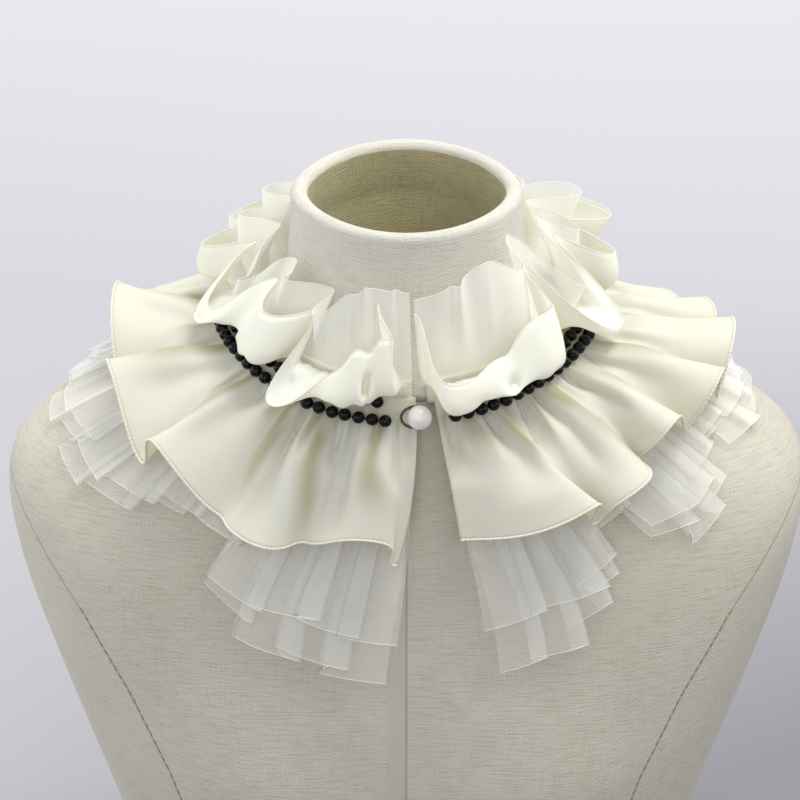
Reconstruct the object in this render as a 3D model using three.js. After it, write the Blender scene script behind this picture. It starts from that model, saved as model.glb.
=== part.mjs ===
// A detachable double-ruffled collar, fastened round the neck of a limbless dress form.
// Millimetres, +Z up. The form stands on Z = 0, its front faces -Y, and +X is at the viewer's right.
// Angles round the neck are in degrees: 0 is the form's centre front, 90 is +X, 180 is the centre back.
// A slant is a distance along the form's surface, down from the bead line round the foot of the neck.
import * as THREE from "three";

const DEGREE = Math.PI / 180;

// ---- the dress form ----

// Cross-sections from the rim of the neck to the base. side: the widest point's x and z.
// front and back: y and z of the centre front and back. square: 2 is an ellipse, more is boxier.
const FORM = table("name sideX sideZ frontY frontZ backY backZ square", [
  ["rim", 56, 461, -54, 456, 58, 466, 2.0],
  ["throat", 57.5, 438, -57, 432, 59, 444, 2.0],
  ["nape", 64, 417, -63, 407, 63, 428, 2.0],
  ["bead line", 84, 396, -74, 380, 72, 410, 2.0],
  ["yoke", 120, 378, -86, 350, 88, 386, 2.1],
  ["collarbone", 158, 360, -96, 317, 99, 354, 2.2],
  ["shoulder", 189, 341, -104, 284, 105, 320, 2.3],
  ["shoulder end", 198, 318, -111, 252, 107, 285, 2.35],
  ["arm plate", 192, 282, -118, 218, 104, 244, 2.35],
  ["armpit", 178, 238, -122, 182, 99, 200, 2.3],
  ["bust", 163, 190, -117, 145, 94, 155, 2.25],
  ["underbust", 146, 130, -104, 102, 90, 106, 2.2],
  ["midriff", 130, 62, -92, 50, 86, 52, 2.2],
  ["base", 121, 0, -87, 0, 84, 0, 2.2],
]);
const BEAD_ROW = FORM.findIndex((row) => row.name === "bead line");
const BASE_ROW = FORM.length - 1;
const BUST = { x: 76, z: 180, wide: 44, tall: 48, proud: 10, edge: 2 };
const FORM_COLUMNS = 36;
// Rows where the solids' rings lie, closer together in the hollow at the foot of the neck.
const TORSO_ROWS = [3.05, 3.25, 3.5, 3.8, 4.2, 4.7, 5.3, 6, 7, 8, 9, 10, 11];
const NECK_ROWS = [2.75, 2.6, 2.4, 2.2, 2, 1, 0];

const NECK_SPLIT_ROW = BEAD_ROW - 0.12; // where the neck tube stands on the torso, under the band
const NECK_WALL = 8;
const NECK_AXIS_Y = 2;
const NECK_GAP = 0.3;
const RIM_TURNS = [50, 130]; // where the rings of the rounded rim lie, in degrees over its wall
const WELL_INSET = 0.4; // how far in the foot of the neck's wall reaches, as a part of the way to the middle

// ---- the cloth ----

// Where the columns of points lie across one fold, 0 and 1 at its dips.
const FULL_FOLD = [0, 0.12, 0.3, 0.5, 0.7, 0.88];
const FLAT_FOLD = [0, 0.25, 0.5, 0.75];
const FOLD_POINT = 0.25; // how much a fold's swing keeps to its crest instead of its dips

const CLOTH = 1.0;
const SEAM_GAP = 0.3;
const LAYER = CLOTH + SEAM_GAP;

const BAND = { from: -15, to: -3, wall: 1.2, gap: 0.5, start: 7, end: 362, steps: 36 };
const BAND_TOP = BAND.gap + BAND.wall;
const FIRST_LAYER = BAND_TOP + SEAM_GAP + CLOTH / 2;

const FRILL_ROOT = -11; // slant of the standing chiffon frill's sewn edge
const NET_FRILL_ROOT = -12.8; // slant of the net frill's, behind it
const FLOUNCE_ROOT = -6.5; // slant of the falling flounces' sewn edge
const BED = [FLOUNCE_ROOT, 0, 7, 15]; // slants that all the flounces share, so that they nest
const SPREAD_START = 7; // slant where the flounces' folds begin, below the beads
const SETTLED_AT = 0.4; // part of its fall by which a flounce reaches its resting height
const LIFT_POWER = 1.15; // how a fold's lift grows towards the hem

// The chiffon frill that stands and rolls over the beads, fold by fold round the neck.
// start: angle of the dip before the fold. A name with dip is for that dip, one without for the fold's crest.
// lean: degrees that the free edge is swung round. out and up: the edge from its root.
// belly and sag: how far the cloth between bulges and hangs. bend: how much wider a fold is than its foot.
// A name with net is for the net frill inside, which stands up more.
const FRILL = table(
  "start dipLean dipOut dipUp dipBelly dipSag lean out up belly sag bend " +
    "netDipLean netDipOut netDipUp netOut netUp",
  [
    [5.5, -3, 3, 38, 8, 12, -4, 23, 9, 22, 24, 0.08, -3, 0, 42, -1, 46],
    [31, 0, 12, 12, 32, 24, 4, 13, 25, 32, 29, 0.05, 0, -5, 52, -1, 42],
    [56, -8, -5, 44, 4, 2, 5, 30, -1, 12, 5, 0.12, -8, -13, 55, 13, 20],
    [84, 0, -8, 38, 9, 7, 2, 24, 22, 17, 16, 0.15, 0, -14.5, 46, 9, 34],
    [108, 0, -7, 34, 10, 8, -2, 38, 24, 12, 11, 0.14, 0, -14, 44, 24, 38],
    [134, 0, -6, 34, 10, 8, 3, 27, 24, 15, 14, 0.13, 0, -11.5, 37, 12, 32],
    [158, 0, -5, 31, 10, 8, -2, 29, 20, 14, 14, 0.13, 0, -8.5, 35, 14, 27],
    [181, 0, -5, 31, 10, 8, 3, 26, 24, 15, 14, 0.13, 0, -8.5, 34, 12, 29],
    [204, 0, -6, 33, 10, 8, 0, 28, 21, 14, 14, 0.13, 0, -9.5, 37, 12, 31],
    [226, 0, -7, 36, 11, 9, 2, 26, 22, 16, 16, 0.12, 0, -13, 44, 9, 38],
    [246, 0, -5, 31, 16, 12, -3, 28, 18, 22, 19, 0.1, 0, -15, 42, 10, 35],
    [265, 0, -3, 29, 22, 14, 5, 21, 8, 31, 16, 0.04, 0, -15, 38, 6, 18],
    [294, 9, -4, 31, 29, 22, 7, 14, 25, 32, 28, 0.05, 9, -13, 38, 1, 36],
    [319, 6, -5, 27, 9, 7, -8, 28, -11, 10, 4, 0.06, 7, -13, 35, 3, 27],
    [341, 0, 19, 14, 27, 26, 1, 15, 24, 27, 31, 0.04, 0, 0, 42, -2, 46],
    [349, 0, 15, 23, 24, 27, 0, 12, 29, 20, 23, 0, 0, -3, 45, -5, 45],
  ],
);
const FRILL_END = {
  start: 362, dipLean: -11.5, dipOut: 2, dipUp: 42, dipBelly: 14, dipSag: 16,
  netDipLean: -1, netDipOut: -5, netDipUp: 44,
};
const FRILL_ROWS = 6;
// How far the cloth first rises off the form, and the least part of its belly that this is.
const STAND = { dip: 6, crest: 15, net: 7, belly: 0.55 };
const NET_LEAST_REACH = 8;
const NET_BELLY = 0.4; // of the chiffon's belly
const NET_INSET = 0.08; // how much narrower its folds are at each side, as a part of their width

// The chiffon flounce that falls over the shoulders. reach: slant of its hem. lift: the hem above its rest.
const FLOUNCE = table("start dipLean dipReach lean reach lift bend", [
  [9, -1, 62, 8, 67, 13, 0.06],
  [34, -3, 76, -2, 72, 15, 0.1],
  [50, -3, 62, -3, 61, 22, 0.12],
  [62, -2, 70, 0, 68, 23, 0.12],
  [77, -3, 75, 0, 69, 24, 0.12],
  [98, 0, 74, 0, 69, 18, 0.15],
  [118, 0, 74, 0, 70, 15, 0.15],
  [138, 0, 75, 0, 72, 17, 0.15],
  [158, 0, 76, 0, 73, 16, 0.15],
  [177, 0, 76, 0, 73, 18, 0.15],
  [196, 0, 76, 0, 73, 16, 0.15],
  [216, 0, 75, 0, 71, 17, 0.15],
  [235, 0, 71, 0, 65, 15, 0.15],
  [254, 0, 64, -4, 50, 28, 0.1],
  [281, 3, 62, -4, 60, 19, 0.03],
  [304, 5, 75, -4, 63, 14, 0.03],
  [326, 2, 72, 1, 76, 8, 0.06],
  [345, 0, 68, 1, 60, 6, 0.06],
]);
const FLOUNCE_END = { start: 363, dipLean: -4, dipReach: 72 };
const FLOUNCE_REST = 10;
const FLOUNCE_ROWS = 3; // from the end of the bed to the hem

// The two net flounces under it, in flat pleats with square-cut ends.
const LONG_NET = table("start dipLean dipReach lean reach lift bend", [
  [9, 0, 131, 2, 122, 3, 0.06],
  [27, 0, 104, 0, 80, 3, 0.06],
  [39, 0, 104, 3, 112, 3, 0.06],
  [56, 0, 98, 0, 80, 3, 0.06],
  [68, 0, 94, -2, 100, 3, 0.06],
  [88, 0, 86, 3, 99, 3, 0.06],
  [108, 0, 96, -4, 104, 3, 0.06],
  [130, 0, 101, 4, 112, 3, 0.06],
  [154, 0, 106, -4, 116, 3, 0.06],
  [180, 0, 109, 4, 113, 3, 0.06],
  [206, 0, 104, -4, 108, 3, 0.06],
  [230, 0, 97, 4, 101, 3, 0.06],
  [252, 0, 88, -4, 97, 3, 0.06],
  [272, 0, 88, 3, 104, 3, 0.06],
  [292, 0, 94, -3, 108, 3, 0.06],
  [312, 0, 101, 0, 82, 3, 0.06],
  [336, 0, 108, 2, 125, 3, 0.06],
]);
const LONG_NET_END = { start: 362, dipLean: -2, dipReach: 130 };
const SHORT_NET = table("start dipLean dipReach lean reach lift bend", [
  [9.5, 0, 108, -2, 105, 2.5, 0.06],
  [27, 0, 96, 0, 79, 2.5, 0.06],
  [41, 0, 98, 3, 100, 2.5, 0.06],
  [57, 0, 90, -2, 79, 2.5, 0.06],
  [72, 0, 86, 3, 91, 2.5, 0.06],
  [94, 0, 82, -4, 92, 2.5, 0.06],
  [118, 0, 90, 4, 98, 2.5, 0.06],
  [144, 0, 95, -4, 102, 2.5, 0.06],
  [171, 0, 98, 4, 100, 2.5, 0.06],
  [199, 0, 94, -4, 96, 2.5, 0.06],
  [225, 0, 88, 4, 90, 2.5, 0.06],
  [250, 0, 81, -3, 88, 2.5, 0.06],
  [272, 0, 80, 3, 94, 2.5, 0.06],
  [294, 0, 86, -3, 98, 2.5, 0.06],
  [314, 0, 92, 0, 80, 2.5, 0.06],
  [335, 0, 104, 2, 107, 2.5, 0.06],
]);
const SHORT_NET_END = { start: 362, dipLean: -2, dipReach: 111 };
const LONG_NET_REST = 2.4;
const SHORT_NET_REST = 6.6;
const NET_ROWS = 3; // from the end of the bed to the hem

// ---- beads and fastening ----

const BEADS = { radius: 3.1, pitch: 6.5, thread: 0.8, sides: 5, clearance: 0.4 };
const STRANDS = [
  { name: "bead_strand_lower", slant: 4.4, start: 12, end: 356, sag: 1.5 },
  { name: "bead_strand_upper", slant: -3.4, start: 15, end: 353, sag: 0 },
];
const STRAND_SAG = { angle: 332, wide: 24 }; // where the slack strand hangs lowest
const STRAND_SAMPLES = 400;
const PEARL = { radius: 6, angle: 3.7, slant: 3.2, meridians: 10, parallels: 7 };
const LOOP = { long: 6.9, wide: 5, shift: -1.6, thread: 0.7, sides: 5, steps: 14 }; // holds the pearl

// ---- small helpers ----

function table(columns, rows) {
  const names = columns.split(" ");
  return rows.map((row) => Object.fromEntries(names.map((name, i) => [name, row[i]])));
}

function mix(a, b, t) {
  return a + (b - a) * t;
}

function smooth(t) {
  const u = Math.min(1, Math.max(0, t));
  return u * u * (3 - 2 * u);
}

function spline(a, b, c, d, t) {
  const slope = (c - a) / 2;
  const nextSlope = (d - b) / 2;
  const rise = c - b;
  return b + t * (slope + t * (3 * rise - 2 * slope - nextSlope + t * (slope + nextSlope - 2 * rise)));
}

function signedPower(value, exponent) {
  return Math.sign(value) * Math.abs(value) ** exponent;
}

// ---- the form's surface ----

function formSection(row) {
  const k = Math.min(BASE_ROW - 1, Math.max(0, Math.floor(row)));
  const [a, b, c, d] = [k - 1, k, k + 1, k + 2].map((i) => FORM[Math.min(BASE_ROW, Math.max(0, i))]);
  const keys = Object.keys(b).filter((key) => key !== "name");
  return Object.fromEntries(keys.map((key) => [key, spline(a[key], b[key], c[key], d[key], row - k)]));
}

function bustPush(x, z) {
  const across = (Math.abs(x) - BUST.x) / BUST.wide;
  const along = (z - BUST.z) / BUST.tall;
  return BUST.proud * Math.exp(-across * across - along * along);
}

function formPoint(angle, row) {
  const cut = formSection(row);
  const sine = Math.sin(angle * DEGREE);
  const cosine = Math.cos(angle * DEGREE);
  const x = cut.sideX * signedPower(sine, 2 / cut.square);
  const middle = (cut.frontY + cut.backY) / 2;
  const depth = (cut.backY - cut.frontY) / 2;
  const endZ = cosine > 0 ? cut.frontZ : cut.backZ;
  const z = cut.sideZ + (endZ - cut.sideZ) * cosine * cosine;
  const y = middle - depth * signedPower(cosine, 2 / cut.square);
  const push = cosine > 0 ? bustPush(x, z) * smooth(cosine * BUST.edge) : 0;
  return new THREE.Vector3(x, y - push, z);
}

const MERIDIAN_STEP = 0.05;
const MERIDIAN_TOP = 0.6;
const MERIDIAN_END = 7.6;
const NORMAL_TURN = 0.5; // steps across which the surface's slope is taken: degrees, and rows
const NORMAL_ROW = 0.05;
const meridians = new Map();

// Form rows and slants along one angle, with slant 0 on the bead line.
function meridian(angle) {
  const key = angle.toFixed(3);
  if (meridians.has(key)) return meridians.get(key);
  const rows = [];
  const slants = [];
  let slant = 0;
  let last = formPoint(angle, MERIDIAN_TOP);
  for (let row = MERIDIAN_TOP; row <= MERIDIAN_END; row += MERIDIAN_STEP) {
    const point = formPoint(angle, row);
    slant += point.distanceTo(last);
    rows.push(row);
    slants.push(slant);
    last = point;
  }
  const zero = slants[Math.round((BEAD_ROW - MERIDIAN_TOP) / MERIDIAN_STEP)];
  const line = { rows, slants: slants.map((value) => value - zero) };
  meridians.set(key, line);
  return line;
}

function rowAtSlant(angle, slant) {
  const { rows, slants } = meridian(angle);
  let i = 1;
  while (i < slants.length - 1 && slants[i] < slant) i += 1;
  const part = (slant - slants[i - 1]) / (slants[i] - slants[i - 1]);
  return mix(rows[i - 1], rows[i], part);
}

function formNormal(angle, row) {
  const turn = formPoint(angle + NORMAL_TURN, row).sub(formPoint(angle - NORMAL_TURN, row));
  const fall = formPoint(angle, row + NORMAL_ROW).sub(formPoint(angle, row - NORMAL_ROW));
  return fall.cross(turn).normalize();
}

// A point over the form: angle, slant, and height along the surface's normal.
function over(angle, slant, height) {
  const row = rowAtSlant(angle, slant);
  return formPoint(angle, row).addScaledVector(formNormal(angle, row), height);
}

// ---- solids from grids of points ----

function solidFrom(points, faces) {
  const geometry = new THREE.BufferGeometry();
  geometry.setAttribute("position", new THREE.Float32BufferAttribute(points.flatMap((p) => p.toArray()), 3));
  geometry.setIndex(faces.flat());
  geometry.computeVertexNormals();
  return geometry;
}

function tangentAt(before, here, after) {
  const arriving = here.clone().sub(before).normalize();
  const leaving = after.clone().sub(here).normalize();
  return arriving.add(leaving);
}

function gridNormal(grid, i, j) {
  const here = grid[i][j];
  const round = tangentAt(grid[Math.max(0, i - 1)][j], here, grid[Math.min(grid.length - 1, i + 1)][j]);
  const down = tangentAt(grid[i][Math.max(0, j - 1)], here, grid[i][Math.min(grid[i].length - 1, j + 1)]);
  return round.cross(down).normalize();
}

// A cloth panel: a wall round a grid of middle points, closed along its four edges.
function clothSolid(grid, wall = CLOTH) {
  const columns = grid.length;
  const rows = grid[0].length;
  const points = [];
  for (const side of [1, -1]) {
    for (let i = 0; i < columns; i += 1) {
      for (let j = 0; j < rows; j += 1) {
        points.push(grid[i][j].clone().addScaledVector(gridNormal(grid, i, j), (side * wall) / 2));
      }
    }
  }
  const top = (i, j) => i * rows + j;
  const under = (i, j) => columns * rows + i * rows + j;
  const faces = [];
  for (let i = 0; i < columns - 1; i += 1) {
    for (let j = 0; j < rows - 1; j += 1) {
      faces.push([top(i, j), top(i + 1, j), top(i + 1, j + 1)]);
      faces.push([top(i, j), top(i + 1, j + 1), top(i, j + 1)]);
      faces.push([under(i, j), under(i + 1, j + 1), under(i + 1, j)]);
      faces.push([under(i, j), under(i, j + 1), under(i + 1, j + 1)]);
    }
  }
  const rim = [];
  for (let i = 0; i < columns; i += 1) rim.push([i, 0]);
  for (let j = 1; j < rows; j += 1) rim.push([columns - 1, j]);
  for (let i = columns - 2; i >= 0; i -= 1) rim.push([i, rows - 1]);
  for (let j = rows - 2; j > 0; j -= 1) rim.push([0, j]);
  rim.forEach((here, k) => {
    const next = rim[(k + 1) % rim.length];
    faces.push([top(...here), under(...here), under(...next)], [top(...here), under(...next), top(...next)]);
  });
  return solidFrom(points, faces);
}

// Rings of equal length joined in order, each closed on itself, the first and last to a centre point.
function loftSolid(rings, firstCentre, lastCentre) {
  const count = rings[0].length;
  const points = rings.flat().concat([firstCentre, lastCentre]);
  const faces = [];
  for (let r = 0; r < rings.length - 1; r += 1) {
    for (let i = 0; i < count; i += 1) {
      const a = r * count + i;
      const b = r * count + ((i + 1) % count);
      faces.push([a, a + count, b + count], [a, b + count, b]);
    }
  }
  const lastRing = (rings.length - 1) * count;
  for (let i = 0; i < count; i += 1) {
    const next = (i + 1) % count;
    faces.push([points.length - 2, i, next], [points.length - 1, lastRing + next, lastRing + i]);
  }
  return solidFrom(points, faces);
}

// Rings joined in order and the last to the first, as round a tube's wall.
function tubeWallSolid(rings) {
  const count = rings[0].length;
  const faces = [];
  rings.forEach((ring, r) => {
    const next = (r + 1) % rings.length;
    for (let i = 0; i < count; i += 1) {
      const j = (i + 1) % count;
      faces.push([r * count + i, r * count + j, next * count + j]);
      faces.push([r * count + i, next * count + j, next * count + i]);
    }
  });
  return solidFrom(rings.flat(), faces);
}

// ---- the form ----

function ringOf(columns, pointAt) {
  return Array.from({ length: columns }, (_, i) => pointAt((i * 360) / columns));
}

function torsoSolid() {
  const rows = [NECK_SPLIT_ROW, ...TORSO_ROWS, BASE_ROW];
  const rings = rows.map((row) => ringOf(FORM_COLUMNS, (angle) => formPoint(angle, row)));
  return loftSolid(rings, wellFloor(), new THREE.Vector3(0, 0, 0));
}

function wellFloor() {
  return new THREE.Vector3(0, 0, formPoint(90, NECK_SPLIT_ROW).z);
}

function neckSolid() {
  const up = new THREE.Vector3(0, 0, 1);
  const rimRadius = NECK_WALL / 2;
  const inward = (angle, row, distance) => {
    const point = formPoint(angle, row);
    const middle = new THREE.Vector3(0, NECK_AXIS_Y, point.z);
    return point.clone().add(middle.sub(point).setLength(distance));
  };
  const foot = (angle, part) => {
    const onSplit = formPoint(angle, NECK_SPLIT_ROW);
    return onSplit.lerp(wellFloor(), part).addScaledVector(up, NECK_GAP);
  };
  const rings = [];
  rings.push(ringOf(FORM_COLUMNS, (angle) => foot(angle, 0)));
  for (const row of NECK_ROWS) {
    rings.push(ringOf(FORM_COLUMNS, (angle) => formPoint(angle, row)));
  }
  for (const turn of RIM_TURNS) {
    const out = rimRadius * Math.cos(turn * DEGREE);
    const rise = rimRadius * Math.sin(turn * DEGREE);
    rings.push(ringOf(FORM_COLUMNS, (angle) => inward(angle, 0, rimRadius - out).addScaledVector(up, rise)));
  }
  for (const row of [0, 1]) rings.push(ringOf(FORM_COLUMNS, (angle) => inward(angle, row, NECK_WALL)));
  rings.push(ringOf(FORM_COLUMNS, (angle) => foot(angle, WELL_INSET)));
  return tubeWallSolid(rings);
}

// ---- folds round the neck ----

// One column of a ruffle for each step of each fold: where it is sewn, how far it is up the fold's crest,
// and each dip value blended between the dips at both sides.
function foldColumns(rows, end, phases) {
  const columns = [];
  rows.forEach((row, k) => {
    const next = rows[k + 1] ?? end;
    const last = k === rows.length - 1;
    const width = next.start - row.start;
    for (const phase of last ? [...phases, 1] : phases) {
      const crest = (1 - Math.cos(2 * Math.PI * phase)) / 2;
      const swing = Math.sin(2 * Math.PI * phase) - FOLD_POINT * Math.sin(4 * Math.PI * phase);
      columns.push({
        row,
        crest,
        full: 1 - (1 - crest) ** 2,
        side: Math.sin(2 * Math.PI * phase),
        width,
        root: row.start + width * phase,
        swing: -row.bend * width * swing,
        dip: (name) => mix(row[name], next[name], smooth(phase)),
      });
    }
  });
  return columns;
}

function outwardAt(angle) {
  const step = over(angle + 1, FRILL_ROOT, 0).sub(over(angle - 1, FRILL_ROOT, 0));
  return new THREE.Vector3(step.y, -step.x, 0).normalize();
}

// A standing frill's profile: up from the sewn root over the beads, by a belly, to the free edge.
function frillPoint(column, edge, seat, part) {
  const root = over(column.root, seat.slant, seat.height);
  const tip = over(edge.angle, seat.slant, seat.height);
  const outward = outwardAt(edge.angle);
  tip.addScaledVector(outward, edge.out);
  tip.z += edge.up;
  const pull = root.clone().lerp(tip, 0.5).addScaledVector(outward, edge.belly);
  pull.z -= edge.sag;
  const normal = formNormal(column.root, rowAtSlant(column.root, seat.slant));
  const rise = root.clone().addScaledVector(normal, edge.stand);
  const curve = new THREE.CubicBezierCurve3(root, rise, pull, tip);
  return curve.getPoint(part);
}

function chiffonEdge(column) {
  const { row, crest, full, dip } = column;
  const belly = mix(dip("dipBelly"), row.belly, full);
  return {
    angle: column.root + column.swing + mix(dip("dipLean"), row.lean, crest),
    out: mix(dip("dipOut"), row.out, crest),
    up: mix(dip("dipUp"), row.up, crest),
    belly,
    sag: mix(dip("dipSag"), row.sag, full),
    stand: Math.max(mix(STAND.dip, STAND.crest, full), STAND.belly * belly),
  };
}

// The net frill follows the chiffon's folds inside them, with smaller swings.
function netEdge(column) {
  const { row, crest, dip } = column;
  const chiffon = chiffonEdge(column);
  const chiffonReach = Math.max(NET_LEAST_REACH, Math.abs(row.out - dip("dipOut")));
  const share = Math.min(1, Math.max(0, (row.netOut - dip("netDipOut")) / chiffonReach));
  const inset = NET_INSET * column.width * column.side;
  const lean = mix(dip("netDipLean"), row.lean * share, crest);
  return {
    angle: column.root + column.swing * share + lean + inset,
    out: mix(dip("netDipOut"), row.netOut, crest),
    up: mix(dip("netDipUp"), row.netUp, crest),
    belly: chiffon.belly * share * NET_BELLY,
    sag: chiffon.sag * share * NET_BELLY,
    stand: mix(STAND.dip, STAND.net, crest),
  };
}

function frillGrid(edgeOf, seat) {
  return foldColumns(FRILL, FRILL_END, FULL_FOLD).map((column) => {
    const edge = edgeOf(column);
    const parts = Array.from({ length: FRILL_ROWS + 1 }, (_, j) => j / FRILL_ROWS);
    return parts.map((part) => frillPoint(column, edge, seat, part));
  });
}

// A falling flounce: level over the beads' bed, then spreading into folds above its resting height.
function flounceGrid(folds, end, size) {
  return foldColumns(folds, end, size.phases).map((column) => {
    const { row, crest, dip } = column;
    const reach = mix(dip("dipReach"), row.reach, crest);
    const lean = column.swing + mix(dip("dipLean"), row.lean, crest);
    const bedEnd = BED[BED.length - 1];
    const fall = Array.from({ length: size.rows }, (_, j) => mix(bedEnd, reach, (j + 1) / size.rows));
    return [...BED, ...fall].map((slant) => {
      const spread = Math.max(0, (slant - SPREAD_START) / (reach - SPREAD_START));
      const settled = mix(size.rootHeight, size.rest, smooth(spread / SETTLED_AT));
      const lift = row.lift * crest * spread ** LIFT_POWER;
      return over(column.root + lean * spread, slant, settled + lift);
    });
  });
}

function bandGrid() {
  return Array.from({ length: BAND.steps + 1 }, (_, i) => {
    const angle = mix(BAND.start, BAND.end, i / BAND.steps);
    return [BAND.from, BAND.to].map((slant) => over(angle, slant, BAND.gap + BAND.wall / 2));
  });
}

// ---- beads ----

const BEAD_HEIGHT = FIRST_LAYER + 2 * LAYER + CLOTH / 2 + BEADS.clearance + BEADS.radius;

function strandPoint(strand, angle) {
  const away = (angle - STRAND_SAG.angle) / STRAND_SAG.wide;
  const slack = strand.sag * Math.exp(-away * away);
  return over(angle, strand.slant + slack, BEAD_HEIGHT);
}

// Beads touching along a thread: thin between two beads, thick at each bead's middle.
function strandSolid(strand) {
  const path = Array.from({ length: STRAND_SAMPLES + 1 }, (_, i) => {
    return strandPoint(strand, mix(strand.start, strand.end, i / STRAND_SAMPLES));
  });
  const curve = new THREE.CatmullRomCurve3(path);
  curve.arcLengthDivisions = 2 * STRAND_SAMPLES;
  const beads = Math.round(curve.getLength() / BEADS.pitch);
  const stations = 2 * beads;
  const up = new THREE.Vector3(0, 0, 1);
  const rings = [];
  for (let i = 0; i <= stations; i += 1) {
    const at = i / stations;
    const along = curve.getTangentAt(at);
    const side = along.clone().cross(up).normalize();
    const rise = side.clone().cross(along).normalize();
    const radius = i % 2 ? BEADS.radius : BEADS.thread;
    const centre = curve.getPointAt(at);
    rings.push(Array.from({ length: BEADS.sides }, (_, k) => {
      const turn = (2 * Math.PI * (k + 0.5)) / BEADS.sides;
      const point = centre.clone().addScaledVector(side, radius * Math.cos(turn));
      return point.addScaledVector(rise, radius * Math.sin(turn));
    }));
  }
  return loftSolid(rings, curve.getPointAt(0), curve.getPointAt(1));
}

// ---- the scene graph ----

const model = new THREE.Group();
model.name = "ruffled_collar_on_dress_form";

function addPiece(name, geometry, look) {
  const mesh = new THREE.Mesh(geometry, new THREE.MeshStandardMaterial(look));
  mesh.name = name;
  model.add(mesh);
  return mesh;
}

const LINEN = { color: 0xb9ab96, roughness: 0.9, metalness: 0 };
const CHIFFON = { color: 0xf1eedd, roughness: 0.7, metalness: 0 };
const NET = { color: 0xe6e0cc, roughness: 0.8, metalness: 0 };
const BLACK_BEAD = { color: 0x101012, roughness: 0.15, metalness: 0 };
const WHITE_PEARL = { color: 0xf3efe9, roughness: 0.2, metalness: 0 };
const BROWN_THREAD = { color: 0x6a4b33, roughness: 0.8, metalness: 0 };

addPiece("form_torso", torsoSolid(), LINEN);
addPiece("form_neck", neckSolid(), LINEN);
addPiece("neckband", clothSolid(bandGrid(), BAND.wall), CHIFFON);

const netSize = { phases: FLAT_FOLD, rows: NET_ROWS };
const longNet = { ...netSize, rootHeight: FIRST_LAYER, rest: LONG_NET_REST };
const shortNet = { ...netSize, rootHeight: FIRST_LAYER + LAYER, rest: SHORT_NET_REST };
const chiffonFlounce = {
  phases: FULL_FOLD,
  rows: FLOUNCE_ROWS,
  rootHeight: FIRST_LAYER + 2 * LAYER,
  rest: FLOUNCE_REST,
};
addPiece("net_flounce_long", clothSolid(flounceGrid(LONG_NET, LONG_NET_END, longNet)), NET);
addPiece("net_flounce_short", clothSolid(flounceGrid(SHORT_NET, SHORT_NET_END, shortNet)), NET);
addPiece("chiffon_flounce", clothSolid(flounceGrid(FLOUNCE, FLOUNCE_END, chiffonFlounce)), CHIFFON);

const netFrill = frillGrid(netEdge, { slant: NET_FRILL_ROOT, height: FIRST_LAYER });
const chiffonFrill = frillGrid(chiffonEdge, { slant: FRILL_ROOT, height: FIRST_LAYER + LAYER });
addPiece("net_frill", clothSolid(netFrill), NET);
addPiece("chiffon_frill", clothSolid(chiffonFrill), CHIFFON);

for (const strand of STRANDS) addPiece(strand.name, strandSolid(strand), BLACK_BEAD);

const fasteningBed = FIRST_LAYER + 2 * LAYER + CLOTH / 2 + SEAM_GAP;
const pearlBall = new THREE.SphereGeometry(PEARL.radius, PEARL.meridians, PEARL.parallels);
const pearl = addPiece("pearl_button", pearlBall, WHITE_PEARL);
pearl.position.copy(over(PEARL.angle, PEARL.slant, fasteningBed + PEARL.radius));

const loopRing = new THREE.TorusGeometry(LOOP.wide, LOOP.thread, LOOP.sides, LOOP.steps);
const loop = addPiece("button_loop", loopRing, BROWN_THREAD);
const loopNormal = formNormal(PEARL.angle, rowAtSlant(PEARL.angle, PEARL.slant));
loop.geometry.scale(LOOP.long / LOOP.wide, 1, 1);
loop.position.copy(over(PEARL.angle, PEARL.slant, fasteningBed + LOOP.thread));
loop.position.x += LOOP.shift;
loop.quaternion.setFromUnitVectors(new THREE.Vector3(0, 0, 1), loopNormal);

export default model;
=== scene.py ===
# A detachable double-ruffled collar of chiffon and net on a limbless dress form.
# Lengths are in millimetres until a mesh is made, then metres. The form's front faces -Y, +Z is up.
# Angles round the neck are in degrees: 0 is the form's centre front, 90 is +X, 180 is the centre back.
# A slant is a distance along the form's surface, down from the bead line round the foot of the neck.
import math
import bpy
import numpy as np
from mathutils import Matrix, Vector


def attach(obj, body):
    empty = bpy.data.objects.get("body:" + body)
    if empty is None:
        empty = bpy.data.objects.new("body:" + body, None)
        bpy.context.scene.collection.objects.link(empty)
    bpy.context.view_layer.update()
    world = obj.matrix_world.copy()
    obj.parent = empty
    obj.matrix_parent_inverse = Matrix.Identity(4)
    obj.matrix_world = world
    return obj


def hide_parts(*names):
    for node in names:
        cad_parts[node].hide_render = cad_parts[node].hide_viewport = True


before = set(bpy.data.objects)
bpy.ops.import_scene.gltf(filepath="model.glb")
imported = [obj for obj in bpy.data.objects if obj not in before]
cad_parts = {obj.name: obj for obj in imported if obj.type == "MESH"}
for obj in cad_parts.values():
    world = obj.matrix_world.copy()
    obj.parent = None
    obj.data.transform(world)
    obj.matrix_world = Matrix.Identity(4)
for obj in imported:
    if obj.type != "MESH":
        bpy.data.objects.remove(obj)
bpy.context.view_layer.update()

MM = 0.001


def table(columns, rows):
    names = columns.split()
    return {name: np.array([row[i] for row in rows], float) for i, name in enumerate(names)}


def mix(a, b, t):
    return a + (b - a) * t


def smooth(t):
    u = np.clip(t, 0, 1)
    return u * u * (3 - 2 * u)


def unit(v):
    return v / np.maximum(np.linalg.norm(v, axis=-1, keepdims=True), 1e-9)


# ---- the form's surface, as in the solids ----

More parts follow.
